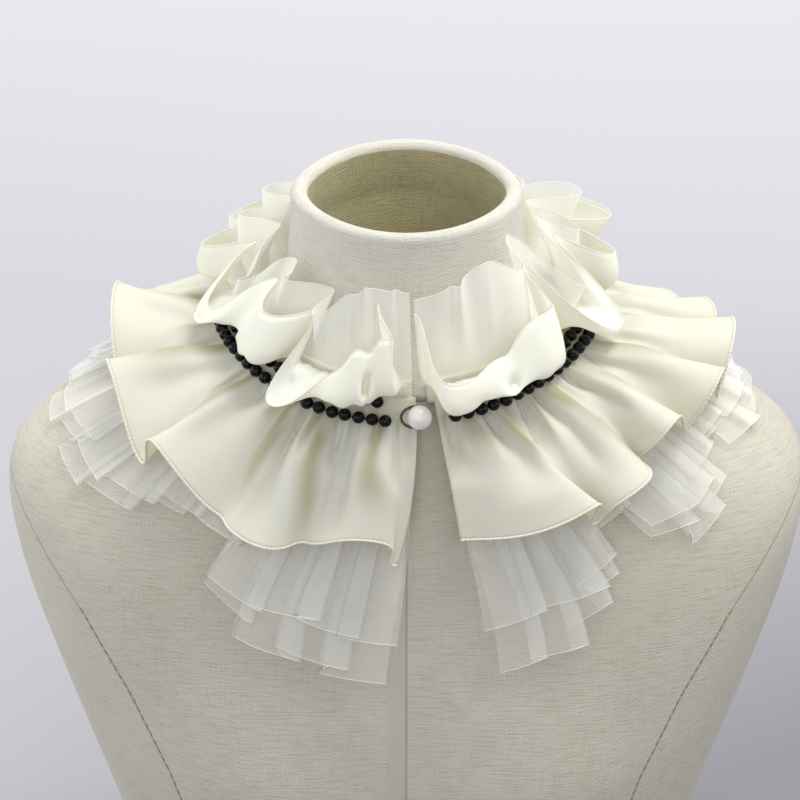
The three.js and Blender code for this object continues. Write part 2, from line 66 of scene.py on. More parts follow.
FORM = table("sideX sideZ frontY frontZ backY backZ square", [
    (56, 461, -54, 456, 58, 466, 2.0),
    (57.5, 438, -57, 432, 59, 444, 2.0),
    (64, 417, -63, 407, 63, 428, 2.0),
    (84, 396, -74, 380, 72, 410, 2.0),
    (120, 378, -86, 350, 88, 386, 2.1),
    (158, 360, -96, 317, 99, 354, 2.2),
    (189, 341, -104, 284, 105, 320, 2.3),
    (198, 318, -111, 252, 107, 285, 2.35),
    (192, 282, -118, 218, 104, 244, 2.35),
    (178, 238, -122, 182, 99, 200, 2.3),
    (163, 190, -117, 145, 94, 155, 2.25),
    (146, 130, -104, 102, 90, 106, 2.2),
    (130, 62, -92, 50, 86, 52, 2.2),
    (121, 0, -87, 0, 84, 0, 2.2),
])
BEAD_ROW = 3
BASE_ROW = 13
BUST = dict(x=76, z=180, wide=44, tall=48, proud=10, edge=2)


def form_section(row):
    k = np.clip(np.floor(row), 0, BASE_ROW - 1).astype(int)
    t = row - k
    cut = {}
    for name, values in FORM.items():
        a, b, c, d = (values[np.clip(k + step, 0, BASE_ROW)] for step in (-1, 0, 1, 2))
        slope, next_slope, rise = (c - a) / 2, (d - b) / 2, c - b
        bend = 3 * rise - 2 * slope - next_slope
        cut[name] = b + t * (slope + t * (bend + t * (slope + next_slope - 2 * rise)))
    return cut


def signed_power(value, exponent):
    return np.sign(value) * np.abs(value) ** exponent


def form_point(angle, row):
    angle, row = np.broadcast_arrays(np.asarray(angle, float), np.asarray(row, float))
    cut = form_section(row)
    sine, cosine = np.sin(np.radians(angle)), np.cos(np.radians(angle))
    x = cut["sideX"] * signed_power(sine, 2 / cut["square"])
    middle = (cut["frontY"] + cut["backY"]) / 2
    depth = (cut["backY"] - cut["frontY"]) / 2
    end_z = np.where(cosine > 0, cut["frontZ"], cut["backZ"])
    z = cut["sideZ"] + (end_z - cut["sideZ"]) * cosine ** 2
    y = middle - depth * signed_power(cosine, 2 / cut["square"])
    across = (np.abs(x) - BUST["x"]) / BUST["wide"]
    along = (z - BUST["z"]) / BUST["tall"]
    push = BUST["proud"] * np.exp(-across ** 2 - along ** 2) * smooth(cosine * BUST["edge"])
    return np.stack([x, y - push, z], -1)


def form_normal(angle, row):
    turn = form_point(angle + 0.5, row) - form_point(angle - 0.5, row)
    fall = form_point(angle, row + 0.05) - form_point(angle, row - 0.05)
    return unit(np.cross(fall, turn))


MERIDIAN_STEP = 0.05
MERIDIAN_ROWS = np.arange(0.6, 7.61, MERIDIAN_STEP)
SLANT_STEP = 0.5
SLANTS = np.arange(-40, 190, SLANT_STEP)


def rows_by_slant():
    """Form rows for every whole degree and each of SLANTS."""
    angles = np.arange(0, 361)
    points = form_point(angles[:, None], MERIDIAN_ROWS[None, :])
    steps = np.linalg.norm(np.diff(points, axis=1), axis=-1)
    slants = np.concatenate([np.zeros((361, 1)), np.cumsum(steps, axis=1)], axis=1)
    zero = slants[:, round((BEAD_ROW - MERIDIAN_ROWS[0]) / MERIDIAN_STEP)]
    return np.array([np.interp(SLANTS, s - z, MERIDIAN_ROWS) for s, z in zip(slants, zero)])


ROWS = rows_by_slant()


def row_at(angle, slant):
    a = np.mod(angle, 360)
    i = np.clip(np.floor(a).astype(int), 0, 359)
    t = a - i
    s = np.clip((slant - SLANTS[0]) / SLANT_STEP, 0, len(SLANTS) - 1.001)
    j = np.floor(s).astype(int)
    u = s - j
    near = mix(ROWS[i, j], ROWS[i, j + 1], u)
    far = mix(ROWS[i + 1, j], ROWS[i + 1, j + 1], u)
    return mix(near, far, t)


def over(angle, slant, height):
    """Points over the form: angle, slant, and height along the surface's normal."""
    angle, slant, height = np.broadcast_arrays(*(np.asarray(v, float) for v in (angle, slant, height)))
    row = row_at(angle, slant)
    return form_point(angle, row) + form_normal(angle, row) * height[..., None]


# ---- meshes ----

def mesh_object(name, points, faces, uv=None, smooth_faces=True):
    """A mesh piece from points in millimetres. uv has a pair for each point."""
    mesh = bpy.data.meshes.new(name)
    mesh.from_pydata((points * MM).tolist(), [], faces.tolist() if hasattr(faces, "tolist") else faces)
    if uv is not None:
        layer = mesh.uv_layers.new(name="cloth_mm")
        corners = np.empty(len(mesh.loops), int)
        mesh.loops.foreach_get("vertex_index", corners)
        layer.data.foreach_set("uv", uv[corners].astype(np.float32).ravel())
    mesh.polygons.foreach_set("use_smooth", [smooth_faces] * len(mesh.polygons))
    mesh.update()
    piece = bpy.data.objects.new(name, mesh)
    bpy.context.scene.collection.objects.link(piece)
    return piece


def mark(piece, name, values):
    """Keeps a number for each point of a piece, for its material to read."""
    layer = piece.data.attributes.new(name, "FLOAT", "POINT")
    layer.data.foreach_set("value", np.asarray(values, np.float32).ravel())


def grid_faces(columns, rows, closed=False):
    i = np.arange(columns if closed else columns - 1)[:, None]
    j = np.arange(rows - 1)[None, :]
    a = i * rows + j
    b = ((i + 1) % columns) * rows + j
    return np.stack([a, b, b + 1, a + 1], -1).reshape(-1, 4)


def grid_normals(grid):
    across = np.gradient(grid, axis=0)
    down = np.gradient(grid, axis=1)
    return unit(np.cross(across, down))


def lengths_along(path):
    """The distance from a path's first point to each of its points."""
    return np.concatenate([[0], np.cumsum(np.linalg.norm(np.diff(path, axis=0), axis=-1))])


def points_along(path, along, places):
    """Points at the distances `places` on a path whose points lie at the distances `along`."""
    return np.stack([np.interp(places, along, path[:, axis]) for axis in range(3)], -1)


def cloth_uv(grid):
    """Millimetres along the cloth, measured on its last row, and down it."""
    u = lengths_along(grid[:, -1])
    down = np.linalg.norm(np.diff(grid, axis=1), axis=-1)
    v = np.concatenate([np.zeros((len(grid), 1)), np.cumsum(down, axis=1)], axis=1)
    return np.stack([np.broadcast_to(u[:, None], v.shape), v], -1)


def cloth_piece(name, grid):
    return mesh_object(name, grid.reshape(-1, 3), grid_faces(*grid.shape[:2]), cloth_uv(grid).reshape(-1, 2))


def parts_of(grid, angles):
    """For each point of a cloth: the angle of its column at the root, and its part of the way down."""
    u = np.broadcast_to(angles[:, None], grid.shape[:2])
    v = np.broadcast_to(np.linspace(0, 1, grid.shape[1])[None, :], grid.shape[:2])
    return u, v


def tube_piece(name, path, radius, sides=6, closed=False):
    """A tube round a path of points. radius is a number or one for each point."""
    ahead = unit(np.gradient(path, axis=0))
    side = unit(np.cross(ahead, np.array([0.13, 0.21, 1.0])))
    rise = np.cross(side, ahead)
    turn = np.linspace(0, 2 * np.pi, sides, endpoint=False)
    ring = side[:, None] * np.cos(turn)[None, :, None] + rise[:, None] * np.sin(turn)[None, :, None]
    radius = np.broadcast_to(np.asarray(radius, float), (len(path),))
    points = path[:, None] + ring * radius[:, None, None]
    count = len(path)
    faces = []
    for i in range(count if closed else count - 1):
        a, b = i * sides, ((i + 1) % count) * sides
        faces += [(a + k, a + (k + 1) % sides, b + (k + 1) % sides, b + k) for k in range(sides)]
    if not closed:
        faces += [tuple(range(sides))[::-1], tuple(range((count - 1) * sides, count * sides))]
    return mesh_object(name, points.reshape(-1, 3), faces)


def shell(piece, thickness):
    wall = piece.modifiers.new("wall", "SOLIDIFY")
    wall.thickness = thickness * MM
    wall.offset = 0


def ball_points(radius, meridians, parallels):
    theta = np.linspace(0, np.pi, parallels + 1)
    phi = np.linspace(0, 2 * np.pi, meridians, endpoint=False)
    points = [(0, 0, radius)]
    for t in theta[1:-1]:
        wide, high = radius * math.sin(t), radius * math.cos(t)
        points += [(wide * math.cos(p), wide * math.sin(p), high) for p in phi]
    points.append((0, 0, -radius))
    faces = [(0, 1 + k, 1 + (k + 1) % meridians) for k in range(meridians)]
    for r in range(parallels - 2):
        a, b = 1 + r * meridians, 1 + (r + 1) * meridians
        faces += [(a + k, b + k, b + (k + 1) % meridians, a + (k + 1) % meridians) for k in range(meridians)]
    last, end = 1 + (parallels - 2) * meridians, len(points) - 1
    faces += [(last + (k + 1) % meridians, last + k, end) for k in range(meridians)]
    return np.array(points), faces


# ---- materials ----

def linear(*rgb):
    return tuple(((c / 255 + 0.055) / 1.055) ** 2.4 if c > 10 else c / 255 / 12.92 for c in rgb) + (1.0,)


class Nodes:
    """A material's node tree, with short ways to add nodes and link them."""

    def __init__(self, name):
        self.material = bpy.data.materials.new(name)
        self.material.use_nodes = True
        self.tree = self.material.node_tree
        self.tree.nodes.clear()
        self.out = self.tree.nodes.new("ShaderNodeOutputMaterial")

    def add(self, kind, values=(), **settings):
        node = self.tree.nodes.new("ShaderNode" + kind)
        for key, value in settings.items():
            setattr(node, key, value)
        for key, value in dict(values).items():
            if hasattr(value, "links") or isinstance(value, bpy.types.NodeSocket):
                self.tree.links.new(value, node.inputs[key])
            else:
                node.inputs[key].default_value = value
        return node

    def math(self, operation, a, b=None, c=None, clamp=False):
        node = self.tree.nodes.new("ShaderNodeMath")
        node.operation = operation
        node.use_clamp = clamp
        for i, value in enumerate((a, b, c)):
            if value is None:
                continue
            if isinstance(value, bpy.types.NodeSocket):
                self.tree.links.new(value, node.inputs[i])
            else:
                node.inputs[i].default_value = value
        return node.outputs[0]

    def blend(self, factor, a, b):
        node = self.tree.nodes.new("ShaderNodeMix")
        node.data_type = "RGBA"
        for socket, value in ((node.inputs[0], factor), (node.inputs[6], a), (node.inputs[7], b)):
            if isinstance(value, bpy.types.NodeSocket):
                self.tree.links.new(value, socket)
            else:
                socket.default_value = value
        return node.outputs[2]

    def cloth_axes(self):
        """Millimetres along and down the cloth."""
        uv = self.add("UVMap", uv_map="cloth_mm")
        parts = self.add("SeparateXYZ", {"Vector": uv.outputs[0]})
        return uv.outputs[0], parts.outputs[0], parts.outputs[1]

    def noise(self, vector, scale, detail=3.0, rough=0.5, stretch=(1, 1, 1)):
        place = self.add("Mapping", {"Vector": vector, "Scale": stretch})
        return self.add("TexNoise", {
            "Vector": place.outputs[0], "Scale": scale, "Detail": detail, "Roughness": rough,
        }).outputs[0]

    def spread(self, value, low, high):
        node = self.add("MapRange", {"Value": value, "From Min": low, "From Max": high})
        return node.outputs[0]

    def surface(self, socket):
        self.tree.links.new(socket, self.out.inputs["Surface"])
        return self.material


SEAM_WIDTH = 0.5


def weave_height(n, u, v, thread):
    """0 to 1 over plain-woven threads of that spacing in millimetres."""
    warp = n.math("SINE", n.math("MULTIPLY", u, math.pi / thread))
    weft = n.math("SINE", n.math("MULTIPLY", v, math.pi / thread))
    return n.math("MULTIPLY_ADD", n.math("MULTIPLY", warp, weft), 0.5, 0.5)


def linen_material(name, light, dark, seams=True):
    n = Nodes(name)
    vector, u, v = n.cloth_axes()
    weave = weave_height(n, u, v, 0.9)
    slubs = n.noise(vector, 1.0, 2.0, 0.6, (0.07, 1.3, 1))
    warp_slubs = n.noise(vector, 1.0, 2.0, 0.6, (1.3, 0.06, 1))
    blotch = n.noise(vector, 0.016, 3.0)
    slub = n.spread(slubs, 0.45, 0.75)
    warp_slub = n.spread(warp_slubs, 0.5, 0.8)
    tone = n.math("MULTIPLY_ADD", blotch, 0.5, n.math("MULTIPLY", slub, 0.42))
    tone = n.math("MULTIPLY_ADD", warp_slub, 0.26, tone)
    tone = n.math("MULTIPLY_ADD", weave, 0.16, n.math("SUBTRACT", tone, 0.2), clamp=True)
    colour = n.blend(tone, light, dark)
    height = n.math("MULTIPLY_ADD", slub, 0.8, weave)
    if seams:
        line = n.add("Attribute", attribute_name="seam_mm").outputs["Fac"]
        near = n.math("DIVIDE", line, SEAM_WIDTH)
        groove = n.math("EXPONENT", n.math("MULTIPLY", n.math("MULTIPLY", near, near), -1.0))
        colour = n.blend(n.math("MULTIPLY", groove, 0.5), colour, linear(118, 106, 84))
        height = n.math("MULTIPLY_ADD", groove, -4.0, height)
    bump = n.add("Bump", {"Strength": 0.35, "Distance": 0.0006, "Height": height})
    skin = n.add("BsdfPrincipled", {
        "Base Color": colour, "Roughness": 0.92, "Normal": bump.outputs[0],
        "Sheen Weight": 0.15, "Sheen Roughness": 0.6, "Specular IOR Level": 0.15,
    })
    return n.surface(skin.outputs[0])


def chiffon_material(name, colour_a, colour_b, through, glow, clear, deep=None):
    """through: the colour of light through it. glow: the share of that light. clear: the share of open weave.
    deep: the colour of painted shade in the troughs of a piece that has them marked."""
    n = Nodes(name)
    vector, u, v = n.cloth_axes()
    weave = weave_height(n, u, v, 0.8)
    cloud = n.noise(vector, 0.03, 2.0)
    crepe = n.noise(vector, 1.4, 2.0)
    colour = n.blend(n.math("MULTIPLY_ADD", cloud, 0.7, n.math("MULTIPLY", weave, 0.2)), colour_a, colour_b)
    if deep:
        # Painted shade: the colour goes towards deep where the piece marks its troughs.
        shade_in_troughs = n.add("Attribute", attribute_name="trough").outputs["Fac"]
        colour = n.blend(shade_in_troughs, colour, deep)
    height = n.math("MULTIPLY_ADD", crepe, 0.8, weave)
    bump = n.add("Bump", {"Strength": 0.12, "Distance": 0.0002, "Height": height})
    front = n.add("BsdfPrincipled", {
        "Base Color": colour, "Roughness": 0.62, "Normal": bump.outputs[0],
        "Sheen Weight": 0.3, "Sheen Roughness": 0.45, "Specular IOR Level": 0.3,
    })
    back = n.add("BsdfTranslucent", {"Color": through, "Normal": bump.outputs[0]})
    both = n.add("MixShader", {0: glow, 1: front.outputs[0], 2: back.outputs[0]})
    if not clear:
        return n.surface(both.outputs[0])
    open_weave = n.add("BsdfTransparent")
    sheer = n.add("MixShader", {0: clear, 1: both.outputs[0], 2: open_weave.outputs[0]})
    return n.surface(sheer.outputs[0])


NET_GLOW = 0.12


def net_material(name, colour, cell, solid, threads):
    """Net whose holes let what is behind show. cell: its mesh in millimetres. solid: how dense it is between
    the threads. threads: how much denser it is on them."""
    n = Nodes(name)
    vector, u, v = n.cloth_axes()
    lines = []
    for sum_or_difference in ("ADD", "SUBTRACT"):
        wave = n.math("SINE", n.math("MULTIPLY", n.math(sum_or_difference, u, v), math.pi / cell))
        lines.append(n.math("SUBTRACT", 1.0, n.math("ABSOLUTE", wave)))
    mesh = n.math("POWER", n.math("MAXIMUM", lines[0], lines[1]), 2.0)
    cloud = n.noise(vector, 0.05, 2.0)
    between = n.math("MULTIPLY_ADD", cloud, 0.16, solid - 0.08)
    alpha = n.math("MULTIPLY_ADD", mesh, threads, between, clamp=True)
    front = n.add("BsdfPrincipled", {
        "Base Color": colour, "Roughness": 0.7, "Sheen Weight": 0.3, "Specular IOR Level": 0.3,
    })
    back = n.add("BsdfTranslucent", {"Color": colour})
    both = n.add("MixShader", {0: NET_GLOW, 1: front.outputs[0], 2: back.outputs[0]})
    holes = n.add("BsdfTransparent")
    skin = n.add("MixShader", {0: alpha, 1: holes.outputs[0], 2: both.outputs[0]})
    return n.surface(skin.outputs[0])


def plain_material(name, colour, rough, coat=0.0, grain=0.0, second=None, scale=200.0, shine=0.5):
    n = Nodes(name)
    place = n.add("TexCoord").outputs["Object"]
    cloud = n.add("TexNoise", {"Vector": place, "Scale": scale, "Detail": 3.0}).outputs[0]
    values = {
        "Base Color": n.blend(cloud, colour, second or colour), "Roughness": rough, "Coat Weight": coat,
        "Specular IOR Level": shine,
    }
    if grain:
        bump = n.add("Bump", {"Strength": grain, "Distance": 0.0003, "Height": cloud})
        values["Normal"] = bump.outputs[0]
    return n.surface(n.add("BsdfPrincipled", values).outputs[0])


LINEN = linen_material("linen_cover", linear(194, 190, 176), linear(154, 147, 127))
# The neck's, rim's and inside's linen are the torso's linen toned to the light each part gets: painted light
# on the neck and rim, lighter than the torso, and painted shade inside the neck, darker and yellower.
LINEN_NECK_LIT = linen_material("linen_neck_lit", linear(210, 207, 195), linear(168, 162, 145), seams=False)
LINEN_INSIDE_SHADED = linen_material("linen_inside_shaded", linear(176, 169, 132), linear(118, 107, 70), seams=False)
LINEN_RIM_LIT = linen_material("linen_rim_lit", linear(207, 204, 193), linear(168, 162, 146), seams=False)
# The flounce's chiffon; its deep colour is painted shade for the troughs of its folds.
CHIFFON = chiffon_material(
    "chiffon", linear(242, 242, 237), linear(237, 236, 228), linear(238, 233, 194), 0.38, 0.14,
    deep=linear(182, 176, 140))
# The same chiffon as the flounce, painted lighter: painted light on the frill, which stands in more light
# than the flounce below it.
FRILL_CHIFFON_LIT = chiffon_material(
    "chiffon_frill", linear(251, 252, 251), linear(246, 247, 242), linear(248, 245, 222), 0.42, 0.04)
HEM = chiffon_material(
    "chiffon_hem", linear(236, 235, 222), linear(222, 220, 200), linear(236, 232, 200), 0.15, 0)
NET = net_material("fine_net", linear(252, 251, 244), 1.2, 0.15, 0.22)
NET_FRILL_CLOTH = net_material("frill_net", linear(251, 250, 240), 1.2, 0.46, 0.34)
NET_THREAD = plain_material("net_thread", linear(240, 238, 226), 0.7, second=linear(232, 229, 214))
BLACK = plain_material("black_bead", linear(7, 7, 8), 0.1, second=linear(14, 12, 12), shine=0.2)
PEARL = plain_material(
    "pearl", linear(226, 220, 217), 0.2, coat=0.6, second=linear(236, 231, 222), scale=120.0)
THREAD = plain_material(
    "brown_thread", linear(116, 84, 58), 0.8, grain=0.6, second=linear(70, 48, 34), scale=900.0)
SEAM_THREAD = plain_material(
    "seam_thread", linear(168, 140, 100), 0.8, grain=0.4, second=linear(128, 104, 74), scale=900.0)


def finish_piece(piece, material, slot, *nodes):
    piece.data.materials.append(material)
    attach(piece, "root")
    if nodes:
        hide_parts(*nodes)


# ---- the form ----

NECK_WALL = 8
NECK_AXIS_Y = 2
NECK_SEAT = 0.3  # the neck's foot stands this far above the torso's top
NECK_WELL = 0.4  # its hollow narrows by this share of the way to the middle
NECK_SPLIT_ROW = BEAD_ROW - 0.12
FORM_COLUMNS = 240


def inward(angle, row, distance):
    point = form_point(angle, row)
    middle = point * [0, 0, 1] + [0, NECK_AXIS_Y, 0]
    return point + unit(middle - point) * np.asarray(distance)[..., None]


# The side-front and side-back seams: distance from the centre line at each height.
PRINCESS = table("z x", [
    (0, 78), (60, 84), (120, 92), (165, 102), (200, 114), (240, 134), (275, 156), (300, 176), (330, 200),
])


CHEST_COLUMN = 70  # where the torso's girth is measured for its weave


def make_torso():
    rows = np.concatenate([[NECK_SPLIT_ROW], np.linspace(3, BASE_ROW, 130)])
    angles = np.linspace(0, 360, FORM_COLUMNS, endpoint=False)
    grid = form_point(angles[:, None], rows[None, :])
    around = lengths_along(grid[:, CHEST_COLUMN])
    uv = np.stack([np.broadcast_to(around[:, None], grid.shape[:2]), grid[..., 2]], -1)
    columns, count = grid.shape[:2]
    points = grid.reshape(-1, 3)
    faces = grid_faces(columns, count, closed=True)[:, ::-1].tolist()
    top = np.array([[0, 0, form_point(90, NECK_SPLIT_ROW)[2]]])
    base = np.array([[0, 0, 0]])
    points = np.concatenate([points, top, base])
    uv = np.concatenate([uv.reshape(-1, 2), [[0, 0], [0, 0]]])
    for i in range(columns):
        k = (i + 1) % columns
        faces.append([columns * count, i * count, k * count])
        faces.append([columns * count + 1, k * count + count - 1, i * count + count - 1])
    torso = mesh_object("form_cover_torso", points, faces, uv)
    seam = np.abs(points[:, 0]) - np.interp(points[:, 2], PRINCESS["z"], PRINCESS["x"])
    mark(torso, "seam_mm", np.where(np.abs(points[:, 0]) < np.abs(seam), points[:, 0], seam))
    finish_piece(torso, LINEN, "linen", "form_torso")


def seam_path(side, front):
    """Points down the side-front or side-back seam, a little proud of the cover."""
    angles = np.linspace(0, 90, 361) if front else np.linspace(90, 180, 361)
    points, normals = [], []
    for row in np.linspace(7.4, BASE_ROW - 0.05, 160):
        ring = form_point(angles, np.full(len(angles), row))
        gap = ring[:, 0] - np.interp(ring[:, 2], PRINCESS["z"], PRINCESS["x"])
        turn = np.flatnonzero(np.diff(np.sign(gap)))
        if len(turn):
            angle = angles[turn[0]] + 0.125
            points.append(form_point(angle, row))
            normals.append(form_normal(angle, row))
    path = np.array(points) + np.array(normals) * 0.12
    path[:, 0] *= side
    return path


STITCH = dict(long=3.0, pitch=4.6, radius=0.24, sides=5, sizes=(0.4, 1, 1, 0.4))


def stitch_points(path, along, start):
    """The rings of one stitch that starts at that distance on a seam."""
    places = start + np.linspace(0, STITCH["long"], len(STITCH["sizes"]))
    centres = points_along(path, along, places)
    ahead = unit(centres[-1] - centres[0])
    across = unit(np.cross(ahead, [0, 0.3, 1.0]))
    rise = np.cross(across, ahead)
    turn = np.arange(STITCH["sides"]) * 2 * np.pi / STITCH["sides"]
    ring = across * np.cos(turn)[:, None] + rise * np.sin(turn)[:, None]
    return np.concatenate([
        centre + STITCH["radius"] * size * ring for centre, size in zip(centres, STITCH["sizes"])
    ])


def stitch_faces(offset):
    sides, rings = STITCH["sides"], len(STITCH["sizes"])
    faces = []
    for a in range(offset, offset + (rings - 1) * sides, sides):
        b = a + sides
        faces += [(a + k, a + (k + 1) % sides, b + (k + 1) % sides, b + k) for k in range(sides)]
    last = offset + (rings - 1) * sides
    return faces + [tuple(range(offset, offset + sides))[::-1], tuple(range(last, last + sides))]


def make_stitches():
    points, faces = [], []
    for side in (-1, 1):
        for front in (True, False):
            path = seam_path(side, front)
            along = lengths_along(path)
            for start in np.arange(2, along[-1] - STITCH["long"], STITCH["pitch"]):
                stitch = stitch_points(path, along, start)
                faces += stitch_faces(len(points) * len(stitch))
                points.append(stitch)
    stitches = mesh_object("form_seam_stitches", np.concatenate(points), faces)
    finish_piece(stitches, SEAM_THREAD, "thread")


def make_neck():
    angles = np.linspace(0, 360, FORM_COLUMNS, endpoint=False)
    outer_rows = np.concatenate([[NECK_SPLIT_ROW], np.linspace(2.75, 0, 44)])
    outer = form_point(angles[:, None], outer_rows[None, :])
    outer[:, 0, 2] += NECK_SEAT
    turns = np.radians(np.linspace(0, 180, 13)[1:-1])
    round_over = NECK_WALL / 2
    reach = np.broadcast_to(round_over - round_over * np.cos(turns), (FORM_COLUMNS, len(turns)))
    rim = inward(angles[:, None], np.zeros((1, len(turns))), reach)
    rim[..., 2] += round_over * np.sin(turns)
    inner_rows = np.linspace(0, 1, 12)
    wall = np.full((FORM_COLUMNS, len(inner_rows)), float(NECK_WALL))
    inner = inward(angles[:, None], inner_rows[None, :], wall)
    foot = form_point(angles, np.full(FORM_COLUMNS, NECK_SPLIT_ROW))
    well = np.array([0, 0, form_point(90, NECK_SPLIT_ROW)[2]])
    foot = foot + (well - foot) * NECK_WELL + np.array([0, 0, NECK_SEAT])
    parts = np.linspace(0, 1, 12)[1:, None, None]
    lower = inner[:, -1][None] * (1 - parts) + foot[None] * parts
    grid = np.concatenate([outer, rim, inner, lower.transpose(1, 0, 2)], axis=1)
    around = lengths_along(grid[:, 20])
    down = lengths_along(grid[0])
    uv = np.stack(np.broadcast_arrays(around[:, None], down[None, :]), -1)
    columns, count = grid.shape[:2]
    faces = grid_faces(columns, count, closed=True).tolist()
    for i in range(columns):
        k = (i + 1) % columns
        faces.append([i * count + count - 1, k * count + count - 1, k * count, i * count])
    neck = mesh_object("form_cover_neck", grid.reshape(-1, 3), faces, uv.reshape(-1, 2))
    finish_piece(neck, LINEN_NECK_LIT, "linen", "form_neck")
    neck.data.materials.append(LINEN_RIM_LIT)
    neck.data.materials.append(LINEN_INSIDE_SHADED)
    # The inside of the neck takes the linen painted with shade; the outside and the rim take it painted with
    # light.
    outside, on_rim, inside = range(3)
    first_rim = outer.shape[1] - 1
    first_inner = first_rim + len(turns) + 1
    for polygon in neck.data.polygons:
        rows = [v % count for v in polygon.vertices]
        first = min(rows)
        under = first == 0 and max(rows) > 1
        polygon.material_index = (
            inside if under or first >= first_inner else on_rim if first >= first_rim else outside)


# ---- the cloth ----

CLOTH = 1.0
LAYER = CLOTH + 0.3
BAND = dict(top=-15, bottom=-3, gap=0.5, wall=1.2, start=7, end=362)
FIRST_LAYER = BAND["gap"] + BAND["wall"] + 0.3 + CLOTH / 2
FRILL_ROOT = -11
NET_FRILL_ROOT = -12.8
FLOUNCE_ROOT = -6.5
SPREAD_START = 7
SETTLED_AT = 0.4
LIFT_POWER = 1.15
FOLD_POINT = 0.25

FRILL_COLUMNS = (
    "start dipLean dipOut dipUp dipBelly dipSag lean out up belly sag bend"
    " netDipLean netDipOut netDipUp netOut netUp")
FRILL = table(FRILL_COLUMNS, [
    (5.5, -3, 3, 38, 8, 12, -4, 23, 9, 22, 24, 0.08, -3, 0, 42, -1, 46),
    (31, 0, 12, 12, 32, 24, 4, 13, 25, 32, 29, 0.05, 0, -5, 52, -1, 42),
    (56, -8, -5, 44, 4, 2, 5, 30, -1, 12, 5, 0.12, -8, -13, 55, 13, 20),
    (84, 0, -8, 38, 9, 7, 2, 24, 22, 17, 16, 0.15, 0, -14.5, 46, 9, 34),
    (108, 0, -7, 34, 10, 8, -2, 38, 24, 12, 11, 0.14, 0, -14, 44, 24, 38),
    (134, 0, -6, 34, 10, 8, 3, 27, 24, 15, 14, 0.13, 0, -11.5, 37, 12, 32),
    (158, 0, -5, 31, 10, 8, -2, 29, 20, 14, 14, 0.13, 0, -8.5, 35, 14, 27),
    (181, 0, -5, 31, 10, 8, 3, 26, 24, 15, 14, 0.13, 0, -8.5, 34, 12, 29),
    (204, 0, -6, 33, 10, 8, 0, 28, 21, 14, 14, 0.13, 0, -9.5, 37, 12, 31),
    (226, 0, -7, 36, 11, 9, 2, 26, 22, 16, 16, 0.12, 0, -13, 44, 9, 38),
    (246, 0, -5, 31, 16, 12, -3, 28, 18, 22, 19, 0.1, 0, -15, 42, 10, 35),
    (265, 0, -3, 29, 22, 14, 5, 21, 8, 31, 16, 0.04, 0, -15, 38, 6, 18),
    (294, 9, -4, 31, 29, 22, 7, 14, 25, 32, 28, 0.05, 9, -13, 38, 1, 36),
    (319, 6, -5, 27, 9, 7, -8, 28, -11, 10, 4, 0.06, 7, -13, 35, 3, 27),
    (341, 0, 19, 14, 27, 26, 1, 15, 24, 27, 31, 0.04, 0, 0, 42, -2, 46),
    (349, 0, 15, 23, 24, 27, 0, 12, 29, 20, 23, 0, 0, -3, 45, -5, 45),
])
FRILL_END = dict(
    start=362, dipLean=-11.5, dipOut=2, dipUp=42, dipBelly=14, dipSag=16,
    netDipLean=-1, netDipOut=-5, netDipUp=44)
STAND = dict(dip=6, crest=15, net=7, belly=0.55)
NET_LEAST_REACH = 8
NET_BELLY = 0.4
NET_INSET = 0.08

FALL_COLUMNS = "start dipLean dipReach lean reach lift bend"
FLOUNCE = table(FALL_COLUMNS, [
    (9, -1, 62, 8, 67, 13, 0.06), (34, -3, 76, -2, 72, 15, 0.1), (50, -3, 62, -3, 61, 22, 0.12),
    (62, -2, 70, 0, 68, 23, 0.12), (77, -3, 75, 0, 69, 24, 0.12), (98, 0, 74, 0, 69, 18, 0.15),
    (118, 0, 74, 0, 70, 15, 0.15), (138, 0, 75, 0, 72, 17, 0.15), (158, 0, 76, 0, 73, 16, 0.15),
    (177, 0, 76, 0, 73, 18, 0.15), (196, 0, 76, 0, 73, 16, 0.15), (216, 0, 75, 0, 71, 17, 0.15),
    (235, 0, 71, 0, 65, 15, 0.15), (254, 0, 64, -4, 50, 28, 0.1), (281, 3, 62, -4, 60, 19, 0.03),
    (304, 5, 75, -4, 63, 14, 0.03), (326, 2, 72, 1, 76, 8, 0.06), (345, 0, 68, 1, 60, 6, 0.06),
])
FLOUNCE_END = dict(start=363, dipLean=-4, dipReach=72)
FLOUNCE_REST = 10
LONG_NET_REST = 3.4
SHORT_NET_REST = 6.6


class Folds:
    """The folds round the neck, at `steps` columns each: every value is an array over the columns."""

    def __init__(self, rows, end, steps):
        count = len(rows["start"])
        phase = np.tile(np.arange(steps) / steps, count)
        k = np.repeat(np.arange(count), steps)
        self.phase = np.append(phase, 1.0)
        self.k = np.append(k, count - 1)
        self.rows, self.end = rows, end
        width = self.width = self.next("start") - self.own("start")
        turn = 2 * np.pi * self.phase
        self.crest = (1 - np.cos(turn)) / 2
        self.full = 1 - (1 - self.crest) ** 2
        self.side = np.sin(turn)
        self.root = self.own("start") + width * self.phase
        self.swing = -self.own("bend") * width * (np.sin(turn) - FOLD_POINT * np.sin(2 * turn))

    def own(self, name):
        return self.rows[name][self.k]

    def next(self, name):
        return np.append(self.rows[name][1:], self.end[name])[self.k]

    def dip(self, name):
        return mix(self.own(name), self.next(name), smooth(self.phase))


def outward_at(angle):
    step = over(angle + 1, FRILL_ROOT, 0) - over(angle - 1, FRILL_ROOT, 0)
    return unit(np.stack([step[..., 1], -step[..., 0], np.zeros_like(step[..., 0])], -1))


def chiffon_edge(f):
    belly = mix(f.dip("dipBelly"), f.own("belly"), f.full)
    return dict(
        angle=f.root + f.swing + mix(f.dip("dipLean"), f.own("lean"), f.crest),
        out=mix(f.dip("dipOut"), f.own("out"), f.crest),
        up=mix(f.dip("dipUp"), f.own("up"), f.crest),
        belly=belly,
        sag=mix(f.dip("dipSag"), f.own("sag"), f.full),
        stand=np.maximum(mix(STAND["dip"], STAND["crest"], f.full), STAND["belly"] * belly),
    )


